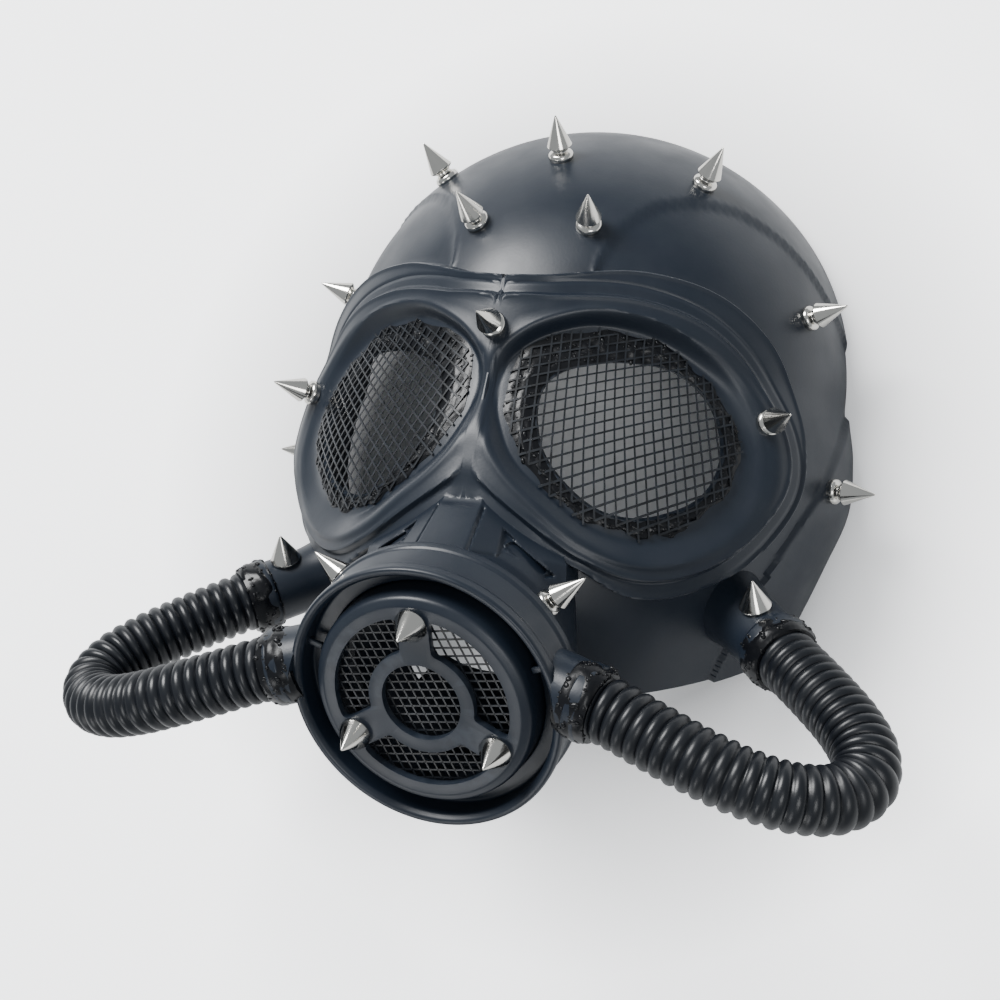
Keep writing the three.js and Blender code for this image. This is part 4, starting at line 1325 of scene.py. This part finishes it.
    def neck(self, inset, overrun):
        """Round muzzle neck that shrinks and rises towards the face"""
        m = settings("muzzle")
        front = m.housing_depth + 0.0003 if inset == 0 else m.housing_depth - 0.0003
        backs = np.array([front, 0.034, m.neck_length, m.neck_length + max(overrun, 0.0001)])
        radii = np.array([m.neck_front, m.neck_front - 0.0011, m.neck_back, m.neck_back])
        lifts = np.array([0.0, 0.0, m.neck_lift, m.neck_lift])
        turn = np.linspace(0, 2 * math.pi, 144, endpoint=False)
        places = np.linspace(front, backs[-1] if overrun else m.neck_length, 28)
        rings = []
        for back in places[::-1]:
            radius = np.interp(back, backs, radii) - inset
            lift = np.interp(back, backs, lifts)
            rings.append([filter_point(radius * math.cos(a), lift + radius * math.sin(a), back) for a in turn])
        return loft("neck", in_frame(rings))


class MASK_OT_filter(Operator):
    """Stepped filter housing and the grille cap with its ring and spokes"""

    bl_idname = "mask.filter"
    bl_label = "Filter"

    def execute(self, context):
        self.add_housing()
        self.add_cap()
        return {"FINISHED"}

    def turned_on_filter(self, name, corners, sides=160):
        centre, outward, _ = filter_axes()
        profile = rounded_profile([(radius, -back, cut) for radius, back, cut in corners])
        return turned(name, profile, in_frame(centre), outward, sides, closed=True)

    def add_housing(self):
        m = settings("muzzle")
        bore = m.cap_radius + 0.0003
        groove = m.cap_radius + 0.0062
        ledge = m.cap_radius - m.cap_wall - 0.0015
        corners = [
            (ledge, m.housing_depth, 0),
            (ledge, m.cap_depth + 0.0003, 0.0002),
            (bore, m.cap_depth + 0.0003, 0.0002),
            (bore, m.groove_depth, 0.0006),
            (groove, m.groove_depth, 0.0012),
            (groove, m.lip + 0.002, 0.0006),
            (groove + 0.0014, m.lip, 0.0008),
            (m.housing_radius - 0.0006, m.lip, 0.0006),
            (m.housing_radius, m.lip + 0.0012, 0.0006),
            (m.housing_radius, m.lip + 0.0045, 0.0004),
            (m.housing_radius - 0.0009, m.lip + 0.0055, 0.0005),
            (m.housing_radius - 0.0009, m.housing_depth - 0.006, 0.0005),
            (m.housing_radius, m.housing_depth - 0.005, 0.0005),
            (m.housing_radius, m.housing_depth - 0.0015, 0.001),
            (m.housing_radius - 0.0016, m.housing_depth, 0.0008),
        ]
        housing = self.turned_on_filter("filter_ring", corners)
        complete(housing, shell_plastic(), ["filter_housing"])
        for side, sign in SIDES.items():
            self.add_tab(side, sign, bore, groove)

    def add_tab(self, side, sign, bore, groove):
        """Small bar across the groove"""
        m = settings("muzzle")
        angle = math.radians(19)
        middle = np.array([sign * math.cos(angle), math.sin(angle)])
        beside = np.array([-middle[1], middle[0]])
        rings = []
        for reach in (bore + 0.0006, groove + 0.0012):
            ring = []
            for aside, back in ((-0.0011, 0.0068), (0.0011, 0.0068), (0.0011, 0.0052), (-0.0011, 0.0052)):
                place = middle * reach + beside * aside
                ring.append(filter_point(place[0], place[1], back + m.lip))
            rings.append(ring)
        tab = bevelled(loft(f"filter_tab_{side}", in_frame(rings)), 0.0004)
        complete(tab, shell_plastic())

    def kidney(self, degrees):
        """One opening between two spokes, with round corners"""
        m = settings("muzzle")
        middle = math.radians(degrees)
        third = math.pi / 3

        def half(radius):
            return third - math.asin(m.spoke / 2 / radius)

        outline = []
        for radius, sign, cut in ((m.kidney_reach, 1, 0.0032), (m.ring_outer, -1, 0.0016)):
            turns = np.linspace(-half(radius), half(radius), 22) * sign + middle
            for k, turn in enumerate(turns):
                corner = cut if k in (0, len(turns) - 1) else 0
                outline.append((radius * math.cos(turn), radius * math.sin(turn), corner))
        return self.without_crowding(outline)

    @staticmethod
    def without_crowding(outline):
        """Drop the plain points that lie inside a rounded corner's reach, then round the corners"""
        corners = [point for point in outline if point[2] > 0]
        kept = []
        for point in outline:
            near = any(math.dist(point[:2], c[:2]) < 1.15 * c[2] for c in corners if c != point)
            if point[2] > 0 or not near:
                kept.append(point)
        return rounded_outline(kept)

    def add_cap(self):
        m = settings("muzzle")
        rounding = m.cap_radius - m.face_radius
        corners = [
            (0.001, 0, 0),
            (m.face_radius, 0, 0.0006),
            (m.cap_radius - 0.25 * rounding, 0.4 * rounding, 0.001),
            (m.cap_radius, rounding + 0.0005, 0.001),
            (m.cap_radius, m.cap_depth, 0.0005),
            (m.cap_radius - m.cap_wall, m.cap_depth, 0.0005),
            (m.cap_radius - m.cap_wall, m.cap_wall, 0.0008),
            (0.001, m.cap_wall, 0),
        ]
        cap = self.turned_on_filter("grille_cap", corners)
        circle = np.linspace(0, 2 * math.pi, 72, endpoint=False)
        outlines = [[(m.ring_inner * math.cos(a), m.ring_inner * math.sin(a)) for a in circle]]
        outlines += [self.kidney(degrees) for degrees in (30, 150, 270)]
        for outline in outlines:
            rings = [[filter_point(x, y, back) for x, y in outline] for back in (m.cap_wall + 0.001, -0.001)]
            combine(cap, loft("opening_tool", in_frame(rings)), "DIFFERENCE")
        bevelled(cap, 0.00045, 3, 50.0)
        complete(cap, shell_plastic(), ["filter_grille"])


class MASK_OT_netting(Operator):
    """Expanded metal behind the grille and over the eyes, with ragged glued edges"""

    bl_idname = "mask.netting"
    bl_label = "Netting and glue"

    points_per_strand = 16
    filter_angles = (math.radians(7.6), math.radians(-67))
    eye_angles = {"left": (math.radians(31), math.radians(120)), "right": (math.radians(17), math.radians(92))}

    def execute(self, context):
        self.add_filter_netting()
        for side, sign in SIDES.items():
            self.add_eye_netting(side, sign)
            self.add_eye_glue(side, sign)
        return {"FINISHED"}

    def lattice(self, name, cells, angles):
        """A flat lattice as points, one block for each strand, and faces"""
        n = settings("netting")
        item = mesh_object(name, [(0, 0, 0)], [])
        values = {
            "Cells": cells,
            "Side": n.side,
            "First angle": angles[0],
            "Second angle": angles[1],
            "Strand width": n.strand,
            "Strand thickness": n.thickness,
            "Material": netting_paint(),
        }
        return run_tree(item, expanded_metal_tree(), values)

    def keep_strands(self, item, wanted):
        """Delete the strands whose middle isn't wanted"""
        work = bmesh.new()
        work.from_mesh(item.data)
        work.verts.ensure_lookup_table()
        size = self.points_per_strand
        co = np.array([v.co for v in work.verts]).reshape(-1, size, 3).mean(1)
        kept = wanted(co[:, 0], co[:, 1])
        gone = [work.verts[i * size + k] for i in np.flatnonzero(~kept) for k in range(size)]
        bmesh.ops.delete(work, geom=gone, context="VERTS")
        work.to_mesh(item.data)
        work.free()

    def move_points(self, item, place):
        co = np.empty(len(item.data.vertices) * 3)
        item.data.vertices.foreach_get("co", co)
        moved = place(co.reshape(-1, 3))
        item.data.vertices.foreach_set("co", np.ascontiguousarray(moved).ravel())
        item.data.update()

    def add_filter_netting(self):
        m = settings("muzzle")
        radius = m.cap_radius - m.cap_wall - 0.0006
        back = m.cap_wall + 0.0008
        centre, outward, upward = filter_axes()
        item = self.lattice("filter_netting", 30, self.filter_angles)
        self.keep_strands(item, lambda x, y: np.hypot(x, y) < radius - 0.0012)
        across = np.array([1.0, 0.0, 0.0])

        def place(co):
            flat = centre + co[:, :1] * across + co[:, 1:2] * upward + (co[:, 2:] - back) * outward
            return in_frame(flat)

        self.move_points(item, place)
        complete(item, netting_paint(), ["filter_mesh"], smooth=30.0)

    def sheet_reach(self, angle):
        """The ragged outer edge of an eye's sheet"""
        wave = 0.012 * np.sin(5 * angle + 1.3) + 0.008 * np.sin(11 * angle) + 0.006 * np.sin(17 * angle + 2)
        return eye_line("floor", angle) * 0.995 - 0.012 + wave * 0.6

    def floor_height(self, across, up):
        s = settings("shell")
        return goggle_lift(across, up) + s.bezel_step - s.recess_depth

    def add_eye_netting(self, side, sign):
        radius = settings("shell").dome_radius
        item = self.lattice(f"eye_netting_{side}", 44, self.eye_angles[side])

        def wanted(x, y):
            return np.hypot(x, y) < self.sheet_reach(np.arctan2(y, x)) * radius

        self.keep_strands(item, wanted)

        def place(co):
            across = EYE_CENTRE[0] + co[:, 0] / radius
            up = EYE_CENTRE[1] + co[:, 1] / radius
            height = self.floor_height(across, up) + co[:, 2] + 0.0009
            return in_frame(on_face(across, up, height) * np.array([sign, 1.0, 1.0]))

        self.move_points(item, place)
        if sign < 0:
            item.data.flip_normals()
        complete(item, netting_paint(), [f"eye_mesh_{side}"], smooth=30.0)

    def glue_band(self, name, sign, inner, outer, thickness):
        """A bumpy film on the recess floor between two lines"""
        radius = settings("shell").dome_radius
        turns = np.linspace(0, 2 * math.pi, 220, endpoint=False)
        rings = []
        for k in range(13):
            t = k / 12
            lumps = np.array([noise.noise(Vector((9 * math.cos(a), 9 * math.sin(a), 4 * t))) for a in turns])
            fine = np.array([noise.noise(Vector((40 * math.cos(a), 40 * math.sin(a), 9 * t))) for a in turns])
            reach = inner(turns) + (outer(turns) - inner(turns)) * t + 0.006 * lumps
            across = EYE_CENTRE[0] + reach * np.cos(turns)
            up = EYE_CENTRE[1] + reach * np.sin(turns)
            film = thickness * math.sin(math.pi * t) * (0.7 + 0.9 * lumps + 0.5 * fine)
            height = self.floor_height(across, up) + 0.0002 + np.maximum(film, 0)
            rings.append(in_frame(on_face(across, up, height) * np.array([sign, 1.0, 1.0])))
        count = len(turns)
        points = np.concatenate(rings)
        faces = []
        for k in range(12):
            for i in range(count):
                j = (i + 1) % count
                quad = [k * count + i, (k + 1) * count + i, (k + 1) * count + j, k * count + j]
                faces.append(quad if sign > 0 else quad[::-1])
        return mesh_object(name, points, faces)

    def add_eye_glue(self, side, sign):
        n = settings("netting")

        def inner(angle):
            return eye_line("opening", angle) * 1.01

        def outer(angle):
            return self.sheet_reach(angle) + 0.006

        bed = self.glue_band(f"glue_blobs_{side}", sign, inner, outer, 0.0008)
        values = {
            "Density": 200000.0,
            "Smallest": n.blob * 0.25,
            "Largest": n.blob,
            "Seed": n.seed + sign,
            "Material": black_glue(),
        }
        blobs = run_tree(bed, glue_blob_tree(), values)
        complete(blobs, black_glue(), smooth=60.0)
        film = self.glue_band(f"glue_film_{side}", sign, inner, outer, 0.0009)
        modifier = film.modifiers.new("Film", "SOLIDIFY")
        modifier.thickness = 0.0006
        modifier.offset = -1.0
        bake_modifiers(film)
        complete(film, black_glue(), smooth=60.0)


class MASK_OT_ports(Operator):
    """Collars on the filter housing and ports on the cheeks, with glue round them"""

    bl_idname = "mask.ports"
    bl_label = "Ports and collars"

    def execute(self, context):
        for side, sign in SIDES.items():
            self.add_collar(side, sign)
            self.add_cheek_port(side, sign)
        return {"FINISHED"}

    def add_collar(self, side, sign):
        s = settings("hoses")
        m = settings("muzzle")
        path = hose_path(sign, 400)
        axis = path[1] - path[0]
        axis /= np.linalg.norm(axis)
        radius = s.diameter / 2 + s.collar_wall
        profile = rounded_profile([
            (0.0, -0.02, 0),
            (radius, -0.02, 0),
            (radius, -0.004, 0.0008),
            (radius + 0.0006, -0.0035, 0.0004),
            (radius + 0.0006, 0.0012, 0.001),
            (radius - 0.0022, 0.0022, 0.001),
            (0.0, 0.0022, 0),
        ])
        collar = turned(f"hose_collar_{side}", profile, in_frame(path[0]), axis, 64)
        centre, outward, _ = filter_axes()
        drum_profile = [(0.0, -0.05), (m.housing_radius - 0.001, -0.05), (m.housing_radius - 0.001, 0.05), (0.0, 0.05)]
        drum = turned("drum_tool", drum_profile, in_frame(centre), outward, 96)
        combine(collar, drum, "DIFFERENCE")
        complete(collar, shell_plastic(), [f"filter_port_{side}"])
        self.add_glue(f"collar_glue_{side}", path[0], axis, radius, -0.008, 0.004, sign)

    def add_cheek_port(self, side, sign):
        s = settings("hoses")
        end, axis = port_axis()
        mirror = np.array([sign, 1.0, 1.0])
        end, axis = end * mirror, axis * mirror
        radius = s.port_radius
        profile = rounded_profile([
            (0.0, -0.0012, 0),
            (radius + 0.0004, -0.0012, 0.0008),
            (radius + 0.0014, 0.0004, 0.0008),
            (radius + 0.0014, 0.005, 0.0008),
            (radius, 0.006, 0.0006),
            (radius, 0.022, 0.004),
            (radius + 0.004, s.port_length, 0),
            (0.0, s.port_length, 0),
        ])
        port = turned(f"port_{side}", profile, in_frame(end), axis, 72)
        complete(port, shell_plastic(), [f"cheek_port_{side}"])
        self.add_glue(f"port_glue_{side}", end, axis, radius + 0.001, -0.005, 0.006, sign)

    def add_glue(self, name, centre, axis, radius, start, end, sign):
        """Blobs and a lumpy skin of glue round a hose end"""
        n = settings("netting")
        first, second = perpendicular_axes(axis)
        turns = np.linspace(0, 2 * math.pi, 48, endpoint=False)
        rings = []
        for along in np.linspace(start, end, 9):
            lumps = np.array([noise.noise(Vector((2.4 * math.cos(a), 2.4 * math.sin(a), along * 260))) for a in turns])
            edge = 1 - abs(2 * (along - start) / (end - start) - 1) ** 3
            out = radius - 0.0006 + edge * (0.0011 + 0.0013 * lumps)
            around = np.cos(turns)[:, None] * np.array(first) + np.sin(turns)[:, None] * np.array(second)
            rings.append(in_frame(centre + axis * along + out[:, None] * around))
        skin_piece = loft(f"{name}_skin", rings)
        bed = skin_piece.copy()
        bed.data = skin_piece.data.copy()
        bed.name = name
        bpy.context.scene.collection.objects.link(bed)
        complete(skin_piece, black_glue(), smooth=60.0)
        values = {
            "Density": 90000.0,
            "Smallest": n.blob * 0.4,
            "Largest": n.blob * 1.5,
            "Seed": n.seed + 10 + sign,
            "Material": black_glue(),
        }
        complete(run_tree(bed, glue_blob_tree(), values), black_glue(), smooth=60.0)


class MASK_OT_studs(Operator):
    """Turned cone studs"""

    bl_idname = "mask.studs"
    bl_label = "Cone studs"

    def execute(self, context):
        tall = self.tall_profile()
        short = self.short_profile()
        for name, place in SHELL_STUDS.items():
            self.add_studs(name, shell_seat(*place), tall, place[0] != 0)
        self.add_studs("cheek", cheek_seat(), tall, True)
        self.add_studs("port", port_seat(), short, True)
        circle = settings("muzzle").stud_circle
        _, outward, _ = filter_axes()
        for name, degrees in FILTER_STUDS.items():
            turn = math.radians(degrees)
            point = filter_point(circle * math.cos(turn), circle * math.sin(turn), 0.0)
            self.add_studs(f"filter_{name}", (point, outward), short, False)
        return {"FINISHED"}

    def add_studs(self, name, seat, profile, paired):
        sides = {f"{name}_{side}": sign for side, sign in SIDES.items()} if paired else {name: 1}
        for label, sign in sides.items():
            mirror = np.array([sign, 1.0, 1.0])
            point, direction = seat[0] * mirror, seat[1] * mirror
            stud = turned(f"cone_{label}", profile, in_frame(point + direction * 0.0003), direction, 56)
            complete(stud, polished_nickel(), [f"stud_{label}"], smooth=28.0)

    def tall_profile(self):
        s = settings("studs")
        return rounded_profile([
            (0.0, -0.0008, 0),
            (s.disc_radius - 0.0004, -0.0008, 0),
            (s.disc_radius - 0.0003, 0.0, 0.0003),
            (s.disc_radius, 0.0008, 0.0006),
            (s.disc_radius - 0.0003, s.disc_height - 0.0007, 0.0006),
            (s.neck_radius + 0.0006, s.disc_height, 0.0005),
            (s.neck_radius, s.disc_height + 0.0004, 0.0002),
            (s.neck_radius, s.cone_start - 0.0012, 0.0002),
            (s.cone_radius - 0.0002, s.cone_start - 0.0003, 0.0002),
            (s.cone_radius, s.cone_start + 0.0001, 0.00015),
            (0.00035, s.height - 0.0004, 0.0003),
            (0.0, s.height, 0),
        ])

    def short_profile(self):
        s = settings("studs")
        return rounded_profile([
            (0.0, -0.0004, 0),
            (s.short_radius - 0.001, -0.0004, 0),
            (s.short_radius - 0.0005, 0.0002, 0.0003),
            (s.short_radius, 0.0011, 0.0003),
            (0.00045, s.short_height - 0.0003, 0.0004),
            (0.0, s.short_height, 0),
        ])


OPERATORS = (
    MASK_OT_stage,
    MASK_OT_hoses,
    MASK_OT_face_shell,
    MASK_OT_filter,
    MASK_OT_netting,
    MASK_OT_ports,
    MASK_OT_studs,
)


class MASK_PT_panel(Panel):
    """The mask's pieces, in the order in which they are made"""

    bl_label = "Costume mask"
    bl_idname = "MASK_PT_panel"
    bl_space_type = "VIEW_3D"
    bl_region_type = "UI"
    bl_category = "Mask"

    def draw(self, context):
        for operator in OPERATORS:
            self.layout.operator(operator.bl_idname)


def register():
    for name, group in PROPERTY_GROUPS.items():
        bpy.utils.register_class(group)
        setattr(bpy.types.Scene, name, PointerProperty(type=group))
    for operator in OPERATORS:
        bpy.utils.register_class(operator)
    bpy.utils.register_class(MASK_PT_panel)


def unregister():
    bpy.utils.unregister_class(MASK_PT_panel)
    for operator in reversed(OPERATORS):
        bpy.utils.unregister_class(operator)
    for name, group in reversed(PROPERTY_GROUPS.items()):
        delattr(bpy.types.Scene, name)
        bpy.utils.unregister_class(group)


def main():
    register()
    for operator in OPERATORS:
        area, name = operator.bl_idname.split(".")
        getattr(getattr(bpy.ops, area), name)()


if __name__ == "__main__":
    main()
